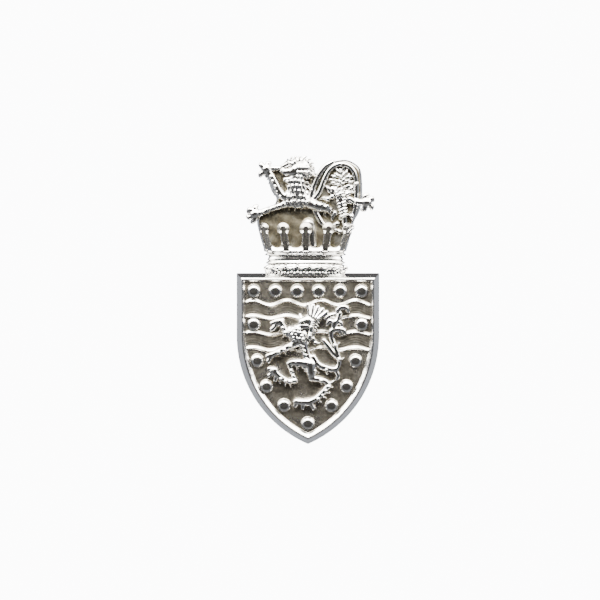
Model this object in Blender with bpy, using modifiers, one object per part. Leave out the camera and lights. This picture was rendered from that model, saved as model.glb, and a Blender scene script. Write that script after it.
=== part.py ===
"""A cap badge: a struck heraldic shield with bosses and an applied lion, a crown and a beast
crest above it, all soldered to one back plate, and held on a cap by two threaded posts with
round nuts, captive washers and a clamp plate.

Metres, +Z up. The badge faces -Y. The back of the back plate, which lies against the cap, is in
the plane Y = 0, and the origin is on it, half-way between the two posts.
"""

import math

import bmesh
import bpy
from mathutils import Matrix, Vector

MM = 0.001

# Shield shell: a drafted tray that opens at the back. Its outline is given at the back and front.
SHIELD_HALF_WIDTH_BACK, SHIELD_HALF_WIDTH_FRONT = 12.2, 11.3
SHIELD_TOP_BACK, SHIELD_TOP_FRONT = 7.3, 6.3
SHIELD_TIP_BACK, SHIELD_TIP_FRONT = -21.95, -21.35
SHIELD_SHOULDER = -3.4  # below this the straight sides turn into the two arcs of the point
SHELL_DEPTH = 3.4
FIELD_DEPTH = 2.9
SHELL_WALL = 0.9
ARC_POINTS = 12
# Insets from the front edge: the flat crest of the rim, and the foot of its inner slope.
RIM_CREST_START, RIM_CREST_END, RIM_FOOT = 0.22, 0.45, 0.85
RIM_CHAMFER = 0.25
# Insets from the back edge: the width of the edge that lies on the cap, and the hollow's floor.
BACK_EDGE_WIDTH, HOLLOW_INSET = 1.0, 1.5

# Wavy ridges across the upper field: height of the mean line, and how far it swings.
RIDGES = ((2.0, 0.45), (-0.42, 0.30), (-3.17, 0.30), (-5.84, 0.28))
RIDGE_PERIOD, RIDGE_CREST_X = 5.8, 2.25
RIDGE_RADIUS = 0.3
RIDGE_POINTS = 19
RIDGE_END_INSET, RIDGE_END_INSET_LOW = 0.6, 0.85  # below the shoulder the rim curves inwards

# Domed bosses: (height, left x, right x) of each pair in the border, and the one in the point.
BOSS_TOP_ROW = (4.15, (-9.2, -5.5, -1.85, 1.8, 5.45, 9.1))
BOSS_PAIRS = ((-1.5, -9.2, 9.1), (-7.65, -8.6, 8.05), (-12.0, -7.0, 6.5), (-15.25, -4.05, 3.95))
BOSS_POINT = (-18.3, 0.0)
BOSS_RADIUS, BOSS_HEIGHT, BOSS_SHANK_RADIUS = 0.98, 0.55, 0.45
BOSS_DOME = ((0.45, 0.03), (0.72, 0.10), (0.90, 0.26))  # (share of the radius, drop from the top)
BOSS_SKIRT = 0.08
RIVET_STAND = 0.1  # how far a shank or peg stands out behind the field
HOLE_PLAY = 0.06  # how much wider than its shank or peg a hole in the field is
HOLE_BACK, HOLE_FRONT = 1.0, 5.0  # depths that a hole's cutter spans

# Back plate, with a tongue that goes up behind the crown and the crest.
PLATE_THICKNESS = 0.8
PLATE_INSET = 1.3
TONGUE_LEFT, TONGUE_RIGHT, TONGUE_TOP = -4.4, 3.6, 20.0
NOTCH_PLAY = 0.1
NOTCH_BOTTOM = SHIELD_TOP_BACK - 2.0

# Fixings.
POST_Z = (9.4, -9.4)
POST_RADIUS, POST_END = 1.45, 8.0
POST_HEAD_RADIUS, POST_HEAD_THICKNESS = 2.0, 0.6
POST_HOLE_RADIUS = 1.55
CAP_WALL = 2.6
CLAMP_THICKNESS, CLAMP_HALF_WIDTH, CLAMP_HALF_LENGTH = 0.8, 4.5, 14.5
CLAMP_HOLE_RADIUS, CLAMP_END_STEPS = POST_HOLE_RADIUS + 0.15, 8
WASHER_THICKNESS, WASHER_RADIUS, WASHER_CHAMFER = 0.5, 2.9, 0.1
NUT_THICKNESS, NUT_RADIUS, NUT_CHAMFER = 2.4, 3.2, 0.25
POST_CHAMFER = 0.3
POCKET_PLAY, POCKET_HEIGHT = 0.2, 0.9  # room left round and in front of the upper post's head

# Crown: a half-round band under five fanned tines.
CROWN_X = -0.42
CROWN_BAND_TOP = 10.95
TINE_X = (-6.05, -3.15, 0.0, 3.15, 6.05)
TINE_HALF_WIDTH = (0.8, 1.05, 1.1, 1.05, 0.8)
TINE_TOP, VALLEY_BOTTOM = 15.75, 11.7
TINE_FAN = 0.047  # widening per millimetre of height
CROWN_FLATTEN = 0.37  # depth of the half-round band over its half width
CROWN_FOOT = SHIELD_TOP_FRONT - 0.1
# The band's mouldings from its top down, as (radius, height).
BAND_PROFILE = (
    (6.5, CROWN_BAND_TOP), (6.9, 10.45), (6.55, 10.2), (6.5, 9.4), (6.85, 9.1), (6.45, 8.8),
    (6.85, 8.4), (6.95, 7.9), (6.6, 7.3), (7.0, 6.9), (7.1, CROWN_FOOT),
)
TINE_BACK, TINE_FRONT = 1.85, 2.95
TINE_SUNK = 0.6  # how far the tine plate runs down into the band
TINE_BEVEL = 0.3

SEAT_GAP = 0.05  # solder gap between pieces that lie against each other
WEB_BACK, WEB_FRONT = PLATE_THICKNESS + SEAT_GAP, 1.65
TRIMMED_OFF = 0.5  # the web is made this much too thick behind, then cut flat with its strokes
LION_BACK = FIELD_DEPTH + RIDGE_RADIUS + 0.02
LION_GROUND = LION_BACK + 0.2  # the middle of its strokes lies in front of its flat back
PEG_ROOT = LION_BACK + 0.4
LION_PEGS = ((-1.8, -3.9), (0.5, -8.9))
PEG_RADIUS, PEG_SIDES = 0.5, 10

# The crest's backing web, round its edge from the lower left.
WEB_OUTLINE = (
    (-7.3, 11.5), (-8.4, 14.8), (-8.6, 16.6), (-7.6, 17.8), (-5.7, 18.9), (-6.3, 20.8),
    (-7.1, 23.2), (-7.1, 24.7), (-4.4, 25.1), (-3.7, 26.3), (-2.0, 26.9), (-0.4, 26.7),
    (0.8, 25.6), (1.2, 24.5), (2.0, 24.9), (3.2, 26.0), (4.6, 26.3), (6.4, 26.4),
    (8.0, 25.7), (8.7, 24.2), (8.8, 20.3), (8.4, 17.8), (7.6, 16.1), (7.0, 13.4), (6.4, 11.5),
)

# Limbs and locks are strokes: points (x, z, forward), each with its radius, in millimetres.
# The forward value is how far the stroke's middle lies in front of the piece's own ground.
CREST_STROKES = (
    ("neck", (
        (-1.9, 24.2, 0.1, 1.5), (-1.8, 22.2, 0.1, 1.7), (-1.4, 20.2, 0.1, 1.7), (0.0, 19.0, 0.1, 1.5),
    )),
    ("brow", (
        (-3.9, 25.4, 0.3, 0.6), (-2.4, 26.0, 0.4, 0.9), (-0.8, 25.8, 0.4, 0.9), (0.4, 25.0, 0.2, 0.7),
    )),
    ("muzzle", ((-2.2, 24.8, 0.6, 1.0), (-4.2, 24.9, 0.5, 0.6), (-6.2, 25.0, 0.3, 0.3))),
    ("jaw", ((-2.0, 23.4, 0.5, 0.9), (-3.8, 23.2, 0.4, 0.5))),
    ("raised_arm", (
        (-2.8, 20.4, 0.3, 0.8), (-4.6, 20.8, 0.3, 0.6), (-5.6, 22.4, 0.3, 0.5), (-6.8, 24.2, 0.3, 0.5),
        (-7.6, 24.9, 0.3, 0.5),
    )),
    ("raised_toe_a", ((-7.5, 25.0, 0.3, 0.42), (-8.1, 25.8, 0.3, 0.3))),
    ("raised_toe_b", ((-7.4, 25.1, 0.3, 0.42), (-6.8, 26.1, 0.3, 0.3))),
    ("raised_toe_c", ((-7.5, 24.8, 0.3, 0.42), (-8.4, 24.3, 0.3, 0.3))),
    ("low_arm", (
        (-1.6, 19.0, 0.3, 0.9), (-4.6, 18.7, 0.3, 0.6), (-7.4, 17.8, 0.3, 0.5), (-9.2, 17.2, 0.3, 0.55),
    )),
    ("low_toe_a", ((-9.2, 17.3, 0.3, 0.45), (-9.5, 18.5, 0.3, 0.3))),
    ("low_toe_b", ((-9.2, 17.2, 0.3, 0.45), (-10.5, 17.4, 0.3, 0.3))),
    ("low_toe_c", ((-9.2, 17.1, 0.3, 0.45), (-10.2, 16.4, 0.3, 0.3))),
    ("low_toe_d", ((-9.0, 17.0, 0.3, 0.45), (-9.4, 15.9, 0.3, 0.3))),
    ("back", ((-1.2, 19.4, 0.2, 1.2), (0.6, 18.6, 0.2, 1.1), (2.2, 18.4, 0.2, 0.9))),
    ("tail_rise", (
        (0.4, 20.0, 0.3, 0.5), (1.0, 22.2, 0.3, 0.5), (2.0, 24.2, 0.3, 0.5), (3.3, 25.6, 0.3, 0.45),
        (4.6, 26.0, 0.3, 0.4),
    )),
    ("tail_arch", (
        (0.8, 19.4, 0.3, 0.5), (2.4, 21.4, 0.3, 0.5), (3.3, 23.8, 0.3, 0.5), (4.4, 25.2, 0.3, 0.45),
        (6.2, 25.8, 0.3, 0.45), (7.8, 24.9, 0.3, 0.45), (8.35, 23.0, 0.3, 0.45), (8.4, 20.4, 0.3, 0.45),
        (8.2, 18.2, 0.3, 0.45), (7.8, 16.8, 0.3, 0.45),
    )),
    ("sprig", (
        (5.8, 16.6, 0.1, 0.5), (5.6, 18.8, 0.1, 0.6), (5.5, 21.0, 0.1, 0.8), (5.4, 22.6, 0.1, 0.9),
        (5.6, 24.0, 0.1, 0.5),
    )),
    ("sprig_leaf_a", ((5.2, 20.6, 0.1, 0.6), (3.4, 20.4, 0.1, 0.4))),
    ("sprig_leaf_b", ((5.6, 20.4, 0.1, 0.6), (7.4, 20.8, 0.1, 0.5))),
    ("end_stem", ((7.6, 19.5, 0.2, 0.5), (9.4, 19.2, 0.2, 0.5), (10.2, 19.2, 0.2, 0.5))),
    ("end_petal_a", ((9.9, 19.3, 0.2, 0.45), (10.0, 20.5, 0.2, 0.35))),
    ("end_petal_b", ((10.0, 19.2, 0.2, 0.45), (11.2, 19.3, 0.2, 0.35))),
    ("end_petal_c", ((9.9, 19.1, 0.2, 0.45), (10.0, 17.9, 0.2, 0.35))),
)

LION_STROKES = (
    ("body", (
        (-0.6, -2.6, 0.2, 1.1), (-1.3, -3.6, 0.2, 1.3), (-0.9, -5.0, 0.2, 1.0), (-0.3, -6.6, 0.2, 0.8),
        (0.4, -8.4, 0.2, 1.0),
    )),
    ("chest", ((-1.9, -2.4, 0.2, 0.9), (-2.6, -3.1, 0.2, 1.0), (-2.0, -3.9, 0.2, 0.9))),
    ("head", ((-0.1, -1.0, 0.3, 1.05), (-0.9, -1.2, 0.3, 0.85), (-1.8, -1.5, 0.3, 0.45))),
    ("jaw", ((-0.8, -2.15, 0.3, 0.5), (-1.6, -2.4, 0.3, 0.34))),
    ("mane", ((0.7, -1.0, 0.2, 0.7), (1.2, -2.2, 0.2, 0.7), (0.8, -3.8, 0.2, 0.6))),
    ("crown_band", ((-0.1, 0.0, 0.3, 0.3), (1.8, -0.8, 0.3, 0.3))),
    ("crown_tine_a", ((0.2, 0.0, 0.3, 0.26), (0.0, 1.85, 0.2, 0.3))),
    ("crown_tine_b", ((0.56, -0.1, 0.3, 0.26), (0.85, 1.75, 0.2, 0.3))),
    ("crown_tine_c", ((0.92, -0.25, 0.3, 0.26), (1.7, 1.5, 0.2, 0.3))),
    ("crown_tine_d", ((1.28, -0.4, 0.3, 0.26), (2.5, 1.1, 0.2, 0.3))),
    ("crown_tine_e", ((1.64, -0.5, 0.3, 0.26), (3.15, 0.65, 0.2, 0.3))),
    ("raised_arm", (
        (-2.6, -3.2, 0.3, 0.8), (-3.6, -2.9, 0.3, 0.55), (-4.1, -2.0, 0.3, 0.5), (-4.8, -1.1, 0.3, 0.58),
    )),
    ("raised_toe_a", ((-5.1, -1.0, 0.3, 0.4), (-6.2, -1.3, 0.3, 0.32))),
    ("raised_toe_b", ((-5.2, -1.4, 0.3, 0.4), (-6.2, -2.4, 0.3, 0.34))),
    ("low_arm", (
        (-1.2, -4.2, 0.3, 0.8), (-2.6, -4.9, 0.3, 0.6), (-4.2, -5.7, 0.3, 0.5), (-6.5, -6.8, 0.3, 0.5),
    )),
    ("low_toe_a", ((-6.4, -6.9, 0.3, 0.4), (-6.7, -7.9, 0.3, 0.3))),
    ("left_thigh", ((0.2, -8.2, 0.3, 0.9), (-1.8, -7.95, 0.3, 0.65), (-3.2, -8.1, 0.3, 0.45))),
    ("left_shank", ((-3.1, -8.3, 0.3, 0.45), (-2.6, -9.8, 0.3, 0.38), (-2.3, -11.0, 0.3, 0.4))),
    ("left_foot", ((-2.3, -11.0, 0.3, 0.45), (-4.4, -10.7, 0.3, 0.48), (-5.7, -9.6, 0.3, 0.62))),
    ("left_toe_a", ((-5.8, -9.3, 0.3, 0.42), (-6.8, -9.1, 0.3, 0.32))),
    ("left_toe_b", ((-5.8, -9.8, 0.3, 0.42), (-6.7, -10.2, 0.3, 0.32))),
    ("right_thigh", ((0.4, -8.4, 0.3, 1.0), (0.55, -9.8, 0.3, 0.85), (0.7, -10.7, 0.3, 0.55))),
    ("right_hock", ((0.6, -10.7, 0.3, 0.5), (2.4, -10.9, 0.3, 0.5), (3.4, -11.7, 0.3, 0.44))),
    ("right_shank", (
        (3.3, -11.8, 0.3, 0.44), (2.4, -13.1, 0.3, 0.5), (1.2, -14.1, 0.3, 0.52),
        (-0.2, -14.7, 0.3, 0.54),
    )),
    ("right_foot", ((0.0, -14.7, 0.3, 0.54), (-2.0, -14.6, 0.3, 0.48))),
    ("right_toe", ((0.4, -15.0, 0.3, 0.4), (1.0, -15.8, 0.3, 0.3))),
    ("tail", (
        (0.9, -7.0, 0.2, 0.55), (1.7, -8.2, 0.2, 0.55), (3.0, -8.9, 0.2, 0.55), (4.4, -9.1, 0.2, 0.5),
        (5.2, -8.2, 0.2, 0.42), (5.1, -6.6, 0.2, 0.42), (4.4, -5.0, 0.2, 0.42), (4.0, -3.6, 0.2, 0.44),
    )),
    ("tail_fork", ((4.9, -7.0, 0.2, 0.4), (3.8, -5.6, 0.2, 0.46), (2.7, -4.3, 0.2, 0.44))),
    ("tail_leaf", ((4.6, -9.2, 0.2, 0.42), (5.0, -10.6, 0.2, 0.3))),
    ("tail_knot", ((3.9, -3.4, 0.2, 0.48), (4.4, -2.4, 0.2, 0.52), (6.0, -2.6, 0.2, 0.48))),
    ("tuft_stem", ((4.3, -2.4, 0.2, 0.45), (4.8, -0.9, 0.2, 0.58), (5.4, 0.6, 0.2, 0.4))),
    ("tuft_leaf_a", ((4.5, -1.2, 0.2, 0.45), (3.4, -1.2, 0.2, 0.36))),
    ("tuft_leaf_b", ((5.2, 0.8, 0.2, 0.4), (5.9, 1.3, 0.2, 0.45), (6.7, 1.0, 0.2, 0.36))),
    ("tuft_leaf_c", ((4.9, -1.1, 0.2, 0.42), (5.7, -1.5, 0.2, 0.3))),
    ("tuft_leaf_d", ((5.0, 0.1, 0.2, 0.36), (3.2, -0.3, 0.2, 0.36))),
)

STROKE_CAP = 0.98  # a round cap is a little smaller than its stroke, so that the two never coincide
REMESH_VOXEL = 0.2
CREST_TRIANGLES, LION_TRIANGLES = 2600, 2400

BEYOND = 35.0  # cutters reach this far past everything
SMOOTH_BELOW = math.radians(35)

FACING_FRONT = (math.pi / 2, 0.0, 0.0)  # turns an object's own +Z to -Y, the badge's front
FACING_BACK = (-math.pi / 2, 0.0, 0.0)  # turns an object's own +Z to +Y, the badge's back


def clear_scene():
    for obj in list(bpy.data.objects):
        bpy.data.objects.remove(obj)


def new_collection(name):
    collection = bpy.data.collections.new(name)
    bpy.context.scene.collection.children.link(collection)
    return collection


def metal(name, colour, roughness):
    material = bpy.data.materials.new(name)
    material.use_nodes = True
    shader = material.node_tree.nodes["Principled BSDF"]
    shader.inputs["Base Color"].default_value = (*colour, 1.0)
    shader.inputs["Metallic"].default_value = 1.0
    shader.inputs["Roughness"].default_value = roughness
    return material


def add_object(name, data, collection, material=None):
    obj = bpy.data.objects.new(name, data)
    collection.objects.link(obj)
    if material:
        data.materials.append(material)
    return obj


def mesh_object(name, bm, collection, material=None):
    bmesh.ops.recalc_face_normals(bm, faces=bm.faces)
    mesh = bpy.data.meshes.new(name)
    bm.to_mesh(mesh)
    bm.free()
    return add_object(name, mesh, collection, material)


def as_cutter(obj):
    obj.hide_render = True
    obj.display_type = "WIRE"
    return obj


def shape_smooth(obj):
    obj.data.shade_smooth()
    obj.data.set_sharp_from_angle(angle=SMOOTH_BELOW)


def boolean(obj, other, operation):
    modifier = obj.modifiers.new(f"{operation.lower()}_{other.name}", "BOOLEAN")
    modifier.operation = operation
    modifier.object = other
    modifier.solver = "EXACT"


def outline_curve(name, outlines, thickness, collection):
    """A flat plate from closed outlines in the XZ plane, the first one being its edge and the
    others holes. It is centred on Y = 0, and the object turns its own +Z to -Y."""
    curve = bpy.data.curves.new(name, "CURVE")
    curve.dimensions = "2D"
    curve.fill_mode = "BOTH"
    curve.extrude = thickness / 2 * MM
    for outline in outlines:
        spline = curve.splines.new("POLY")
        spline.points.add(len(outline) - 1)
        for point, (x, z) in zip(spline.points, outline):
            point.co = (x * MM, z * MM, 0.0, 1.0)
        spline.use_cyclic_u = True
    obj = add_object(name, curve, collection)
    obj.rotation_euler = FACING_FRONT
    return obj


def curve_to_mesh_object(curve_object, name, collection, material=None):
    """The same shape as a closed mesh with its caps welded, in world coordinates."""
    bpy.context.view_layer.update()
    graph = bpy.context.evaluated_depsgraph_get()
    mesh = bpy.data.meshes.new_from_object(curve_object.evaluated_get(graph))
    mesh.transform(curve_object.matrix_world)
    curve = curve_object.data
    bpy.data.objects.remove(curve_object)
    bpy.data.curves.remove(curve)
    bm = bmesh.new()
    bm.from_mesh(mesh)
    bpy.data.meshes.remove(mesh)
    bmesh.ops.remove_doubles(bm, verts=bm.verts, dist=0.001 * MM)
    return mesh_object(name, bm, collection, material)


def plate(name, outlines, back, front, collection, material=None):
    """A flat plate between two depths, counted forwards from the plane Y = 0."""
    curve_object = outline_curve(name + "_outline", outlines, front - back, collection)
    curve_object.location.y = -(front + back) / 2 * MM
    return curve_to_mesh_object(curve_object, name, collection, material)


def circle(centre, radius, count):
    x, z = centre
    turns = [2 * math.pi * i / count for i in range(count)]
    return [(x + radius * math.cos(a), z + radius * math.sin(a)) for a in turns]


def cylinder(name, centre, radius, back, front, collection, segments=16):
    """A solid cylinder along Y at (x, z), between two depths."""
    bm = bmesh.new()
    bmesh.ops.create_cone(
        bm,
        cap_ends=True,
        segments=segments,
        radius1=radius * MM,
        radius2=radius * MM,
        depth=(front - back) * MM,
    )
    bmesh.ops.rotate(bm, matrix=Matrix.Rotation(math.pi / 2, 3, "X"), verts=bm.verts)
    middle = Vector((centre[0], -(front + back) / 2, centre[1])) * MM
    bmesh.ops.translate(bm, vec=middle, verts=bm.verts)
    return mesh_object(name, bm, collection)


def box(name, low, high, collection):
    bm = bmesh.new()
    bmesh.ops.create_cube(bm, size=1.0)
    size = [(b - a) * MM for a, b in zip(low, high)]
    bmesh.ops.scale(bm, vec=size, verts=bm.verts)
    bmesh.ops.translate(bm, vec=[(a + b) / 2 * MM for a, b in zip(low, high)], verts=bm.verts)
    return mesh_object(name, bm, collection)


def half_space_behind(name, depth, collection):
    """Everything behind the given depth."""
    low = (-BEYOND, -depth, -BEYOND)
    return box(name, low, (BEYOND, BEYOND, BEYOND), collection)


def turned(name, profile, steps, collection, material=None):
    """A turned solid: (radius, height) points down the outer side, turned about the object's Z."""
    mesh = bpy.data.meshes.new(name)
    edges = [(i, i + 1) for i in range(len(profile) - 1)]
    if min(radius for radius, _ in profile) > 0:
        edges.append((len(profile) - 1, 0))
    mesh.from_pydata([(r * MM, 0.0, h * MM) for r, h in profile], edges, [])
    obj = add_object(name, mesh, collection, material)
    screw = obj.modifiers.new("turn", "SCREW")
    screw.steps = screw.render_steps = steps
    screw.use_merge_vertices = True
    screw.merge_threshold = 0.001 * MM
    return obj


def shield_outline(half_width, top, tip, inset):
    """The shield's edge, moved inwards by inset: flat top, straight sides, and two arcs that
    meet in the point. Each arc is centred level with the shoulder, so its radius follows."""
    drop = SHIELD_SHOULDER - tip
    edge_radius = (half_width**2 + drop**2) / (2 * half_width)
    centre = half_width - edge_radius
    radius = edge_radius - inset
    last = math.acos(-centre / radius)
    right = []
    for i in range(ARC_POINTS + 1):
        angle = last * i / ARC_POINTS
        right.append((centre + radius * math.cos(angle), SHIELD_SHOULDER - radius * math.sin(angle)))
    left = [(-x, z) for x, z in reversed(right[:-1])]
    edge = half_width - inset
    return [(-edge, top - inset), (edge, top - inset)] + right + left


def back_outline(inset):
    return shield_outline(SHIELD_HALF_WIDTH_BACK, SHIELD_TOP_BACK, SHIELD_TIP_BACK, inset)


def front_outline(inset):
    return shield_outline(SHIELD_HALF_WIDTH_FRONT, SHIELD_TOP_FRONT, SHIELD_TIP_FRONT, inset)


def loft(name, rings, collection, material=None):
    """A closed solid through (outline, depth) rings with equal point counts, capped at both ends."""
    bm = bmesh.new()
    made = [[bm.verts.new((x * MM, -depth * MM, z * MM)) for x, z in outline] for outline, depth in rings]
    for lower, upper in zip(made, made[1:]):
        for i in range(len(lower)):
            j = (i + 1) % len(lower)
            bm.faces.new((lower[i], lower[j], upper[j], upper[i]))
    bm.faces.new(made[0])
    bm.faces.new(reversed(made[-1]))
    return mesh_object(name, bm, collection, material)


def boss_places():
    top_z, top_xs = BOSS_TOP_ROW
    places = [(x, top_z) for x in top_xs]
    for z, left, right in BOSS_PAIRS:
        places += [(left, z), (right, z)]
    point_z, point_x = BOSS_POINT
    return places + [(point_x, point_z)]


def ridge_tube(name, mean, swing, collection):
    """One wavy ridge as a tube, half sunk in the field and run a little into the rim."""
    inset = RIDGE_END_INSET_LOW if mean < SHIELD_SHOULDER else RIDGE_END_INSET
    reach = SHIELD_HALF_WIDTH_FRONT - inset
    curve = bpy.data.curves.new(name, "CURVE")
    curve.dimensions = "3D"
    curve.bevel_depth = RIDGE_RADIUS * MM
    curve.bevel_resolution = 1
    curve.use_fill_caps = True
    spline = curve.splines.new("POLY")
    spline.points.add(RIDGE_POINTS - 1)
    for i, point in enumerate(spline.points):
        x = reach * (2 * i / (RIDGE_POINTS - 1) - 1)
        z = mean + swing * math.cos(2 * math.pi * (x - RIDGE_CREST_X) / RIDGE_PERIOD)
        point.co = (x * MM, -FIELD_DEPTH * MM, z * MM, 1.0)
    return curve_to_mesh_object(add_object(name + "_line", curve, collection), name, collection)


def build_shell(parts, cutters, material):
    """The struck shield: hollow behind, with its rim, its wavy ridges, and the holes for pegs."""
    shell = loft(
        "shield_shell",
        [
            (back_outline(HOLLOW_INSET), FIELD_DEPTH - SHELL_WALL),
            (back_outline(BACK_EDGE_WIDTH), 0.0),
            (back_outline(0.0), 0.0),
            (front_outline(0.0), SHELL_DEPTH - RIM_CHAMFER),
            (front_outline(RIM_CREST_START), SHELL_DEPTH),
            (front_outline(RIM_CREST_END), SHELL_DEPTH),
            (front_outline(RIM_FOOT), FIELD_DEPTH),
        ],
        parts,
        material,
    )
    for i, (mean, swing) in enumerate(RIDGES):
        boolean(shell, as_cutter(ridge_tube(f"ridge_{i + 1}", mean, swing, cutters)), "UNION")
    holes = [("boss_hole", BOSS_SHANK_RADIUS, place) for place in boss_places()]
    holes += [("peg_hole", PEG_RADIUS, place) for place in LION_PEGS]
    for i, (name, shank, place) in enumerate(holes):
        radius = shank + HOLE_PLAY
        hole = cylinder(f"{name}_{i + 1}", place, radius, HOLE_BACK, HOLE_FRONT, cutters, PEG_SIDES)
        boolean(shell, as_cutter(hole), "DIFFERENCE")
    notch = box(
        "tongue_notch",
        (TONGUE_LEFT - NOTCH_PLAY, -PLATE_THICKNESS - NOTCH_PLAY, NOTCH_BOTTOM),
        (TONGUE_RIGHT + NOTCH_PLAY, BEYOND, SHIELD_TOP_BACK + BEYOND),
        cutters,
    )
    boolean(shell, as_cutter(notch), "DIFFERENCE")
    return shell


def build_bosses(parts, material):
    """Domed bosses, each with a shank riveted through the field."""
    shank_end = -SHELL_WALL - RIVET_STAND
    profile = [(0.0, BOSS_HEIGHT)]
    profile += [(share * BOSS_RADIUS, BOSS_HEIGHT - drop) for share, drop in BOSS_DOME]
    profile += [
        (BOSS_RADIUS, SEAT_GAP + BOSS_SKIRT),
        (BOSS_RADIUS, SEAT_GAP),
        (BOSS_SHANK_RADIUS, SEAT_GAP),
        (BOSS_SHANK_RADIUS, shank_end),
        (0.0, shank_end),
    ]
    first = turned("roundel_01", profile, 14, parts, material)
    shape_smooth(first)
    for i, (x, z) in enumerate(boss_places()):
        boss = first if i == 0 else first.copy()
        if i:
            boss.name = f"roundel_{i + 1:02d}"
            parts.objects.link(boss)
        boss.location = Vector((x, -FIELD_DEPTH, z)) * MM
        boss.rotation_euler = FACING_FRONT


def stroke_tubes(strokes, ground):
    """One mesh holding each stroke as a tapered tube; ground is the depth its heights count from."""
    bm = bmesh.new()
    for name, points in strokes:
        curve = bpy.data.curves.new(name, "CURVE")
        curve.dimensions = "3D"
        curve.bevel_depth = MM
        curve.bevel_resolution = 2
        curve.resolution_u = 4
        curve.use_fill_caps = True
        spline = curve.splines.new("NURBS")
        spline.points.add(len(points) - 1)
        for point, (x, z, forward, radius) in zip(spline.points, points):
            point.co = (x * MM, -(ground + forward) * MM, z * MM, 1.0)
            point.radius = radius
        spline.use_endpoint_u = True
        spline.order_u = min(3, len(points))
        tube = add_object(name, curve, bpy.context.scene.collection)
        bpy.context.view_layer.update()
        graph = bpy.context.evaluated_depsgraph_get()
        mesh = bpy.data.meshes.new_from_object(tube.evaluated_get(graph))
        bm.from_mesh(mesh)
        for x, z, forward, radius in (points[0], points[-1]):
            end = Matrix.Translation(Vector((x, -(ground + forward), z)) * MM)
            cap = radius * STROKE_CAP * MM
            bmesh.ops.create_uvsphere(bm, u_segments=10, v_segments=6, radius=cap, matrix=end)
        bpy.data.objects.remove(tube)
        bpy.data.curves.remove(curve)
        bpy.data.meshes.remove(mesh)
    bmesh.ops.remove_doubles(bm, verts=bm.verts, dist=0.001 * MM)
    return bm


def fuse_relief(obj, triangles):
    """Fuses overlapping shapes into one cast body, then thins its mesh to about that many."""
    remesh = obj.modifiers.new("fuse", "REMESH")
    remesh.mode = "VOXEL"
    remesh.voxel_size = REMESH_VOXEL * MM
    bpy.context.view_layer.update()
    graph = bpy.context.evaluated_depsgraph_get()
    fused = obj.evaluated_get(graph).to_mesh()
    fused.calc_loop_triangles()
    thin = obj.modifiers.new("thin", "DECIMATE")
    thin.ratio = min(1.0, triangles / len(fused.loop_triangles))
    obj.evaluated_get(graph).to_mesh_clear()


def post_pocket(name, cutters):
    """Room for the upper post's head behind the crown."""
    front = WEB_BACK + POCKET_HEIGHT
    return cylinder(name, (0.0, POST_Z[0]), POST_HEAD_RADIUS + POCKET_PLAY, 0.0, front, cutters, 20)


def build_crest(parts, cutters, material):
    """The beast rising from the crown, on its backing web."""
    bm = stroke_tubes(CREST_STROKES, WEB_FRONT)
    web = plate("crest_web", [WEB_OUTLINE], WEB_BACK - TRIMMED_OFF, WEB_FRONT, cutters)
    bm.from_mesh(web.data)
    bpy.data.objects.remove(web)
    crest = mesh_object("crest_beast", bm, parts, material)
    fuse_relief(crest, CREST_TRIANGLES)
    behind = half_space_behind("behind_crest", WEB_BACK, cutters)
    boolean(crest, as_cutter(behind), "DIFFERENCE")
    boolean(crest, as_cutter(post_pocket("crest_pocket", cutters)), "DIFFERENCE")
    return crest


def build_lion(parts, cutters, material):
    """The applied lion, with two pegs that go through the field."""
    bm = stroke_tubes(LION_STROKES, LION_GROUND)
    lion = mesh_object("lion_charge", bm, parts, material)
    fuse_relief(lion, LION_TRIANGLES)
    behind = half_space_behind("behind_lion", LION_BACK, cutters)
    boolean(lion, as_cutter(behind), "DIFFERENCE")
    peg_end = FIELD_DEPTH - SHELL_WALL - RIVET_STAND
    for i, place in enumerate(LION_PEGS):
        peg = cylinder(f"lion_peg_{i + 1}", place, PEG_RADIUS, peg_end, PEG_ROOT, cutters, PEG_SIDES)
        boolean(lion, as_cutter(peg), "UNION")
    return lion


def fan(x, z):
    """Spreads the tines: a point moves out from the crown's middle as it rises."""
    return (CROWN_X + x * (1 + TINE_FAN * max(0.0, z - CROWN_BAND_TOP)), z)


def tine_outline():
    """Five round-topped tines with round-bottomed valleys between them."""
    arc = [math.pi * i / 6 for i in range(7)]
    low = CROWN_BAND_TOP - TINE_SUNK
    points = [(TINE_X[0] - TINE_HALF_WIDTH[0], low)]
    for i, (x, half) in enumerate(zip(TINE_X, TINE_HALF_WIDTH)):
        points += [(x - half * math.cos(a), TINE_TOP - half + half * math.sin(a)) for a in arc]
        if i + 1 < len(TINE_X):
            left, right = x + half, TINE_X[i + 1] - TINE_HALF_WIDTH[i + 1]
            middle, radius = (left + right) / 2, (right - left) / 2
            points += [
                (middle - radius * math.cos(a), VALLEY_BOTTOM + radius - radius * math.sin(a)) for a in arc
            ]
    points.append((TINE_X[-1] + TINE_HALF_WIDTH[-1], low))
    return [fan(x, z) for x, z in points]


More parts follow.
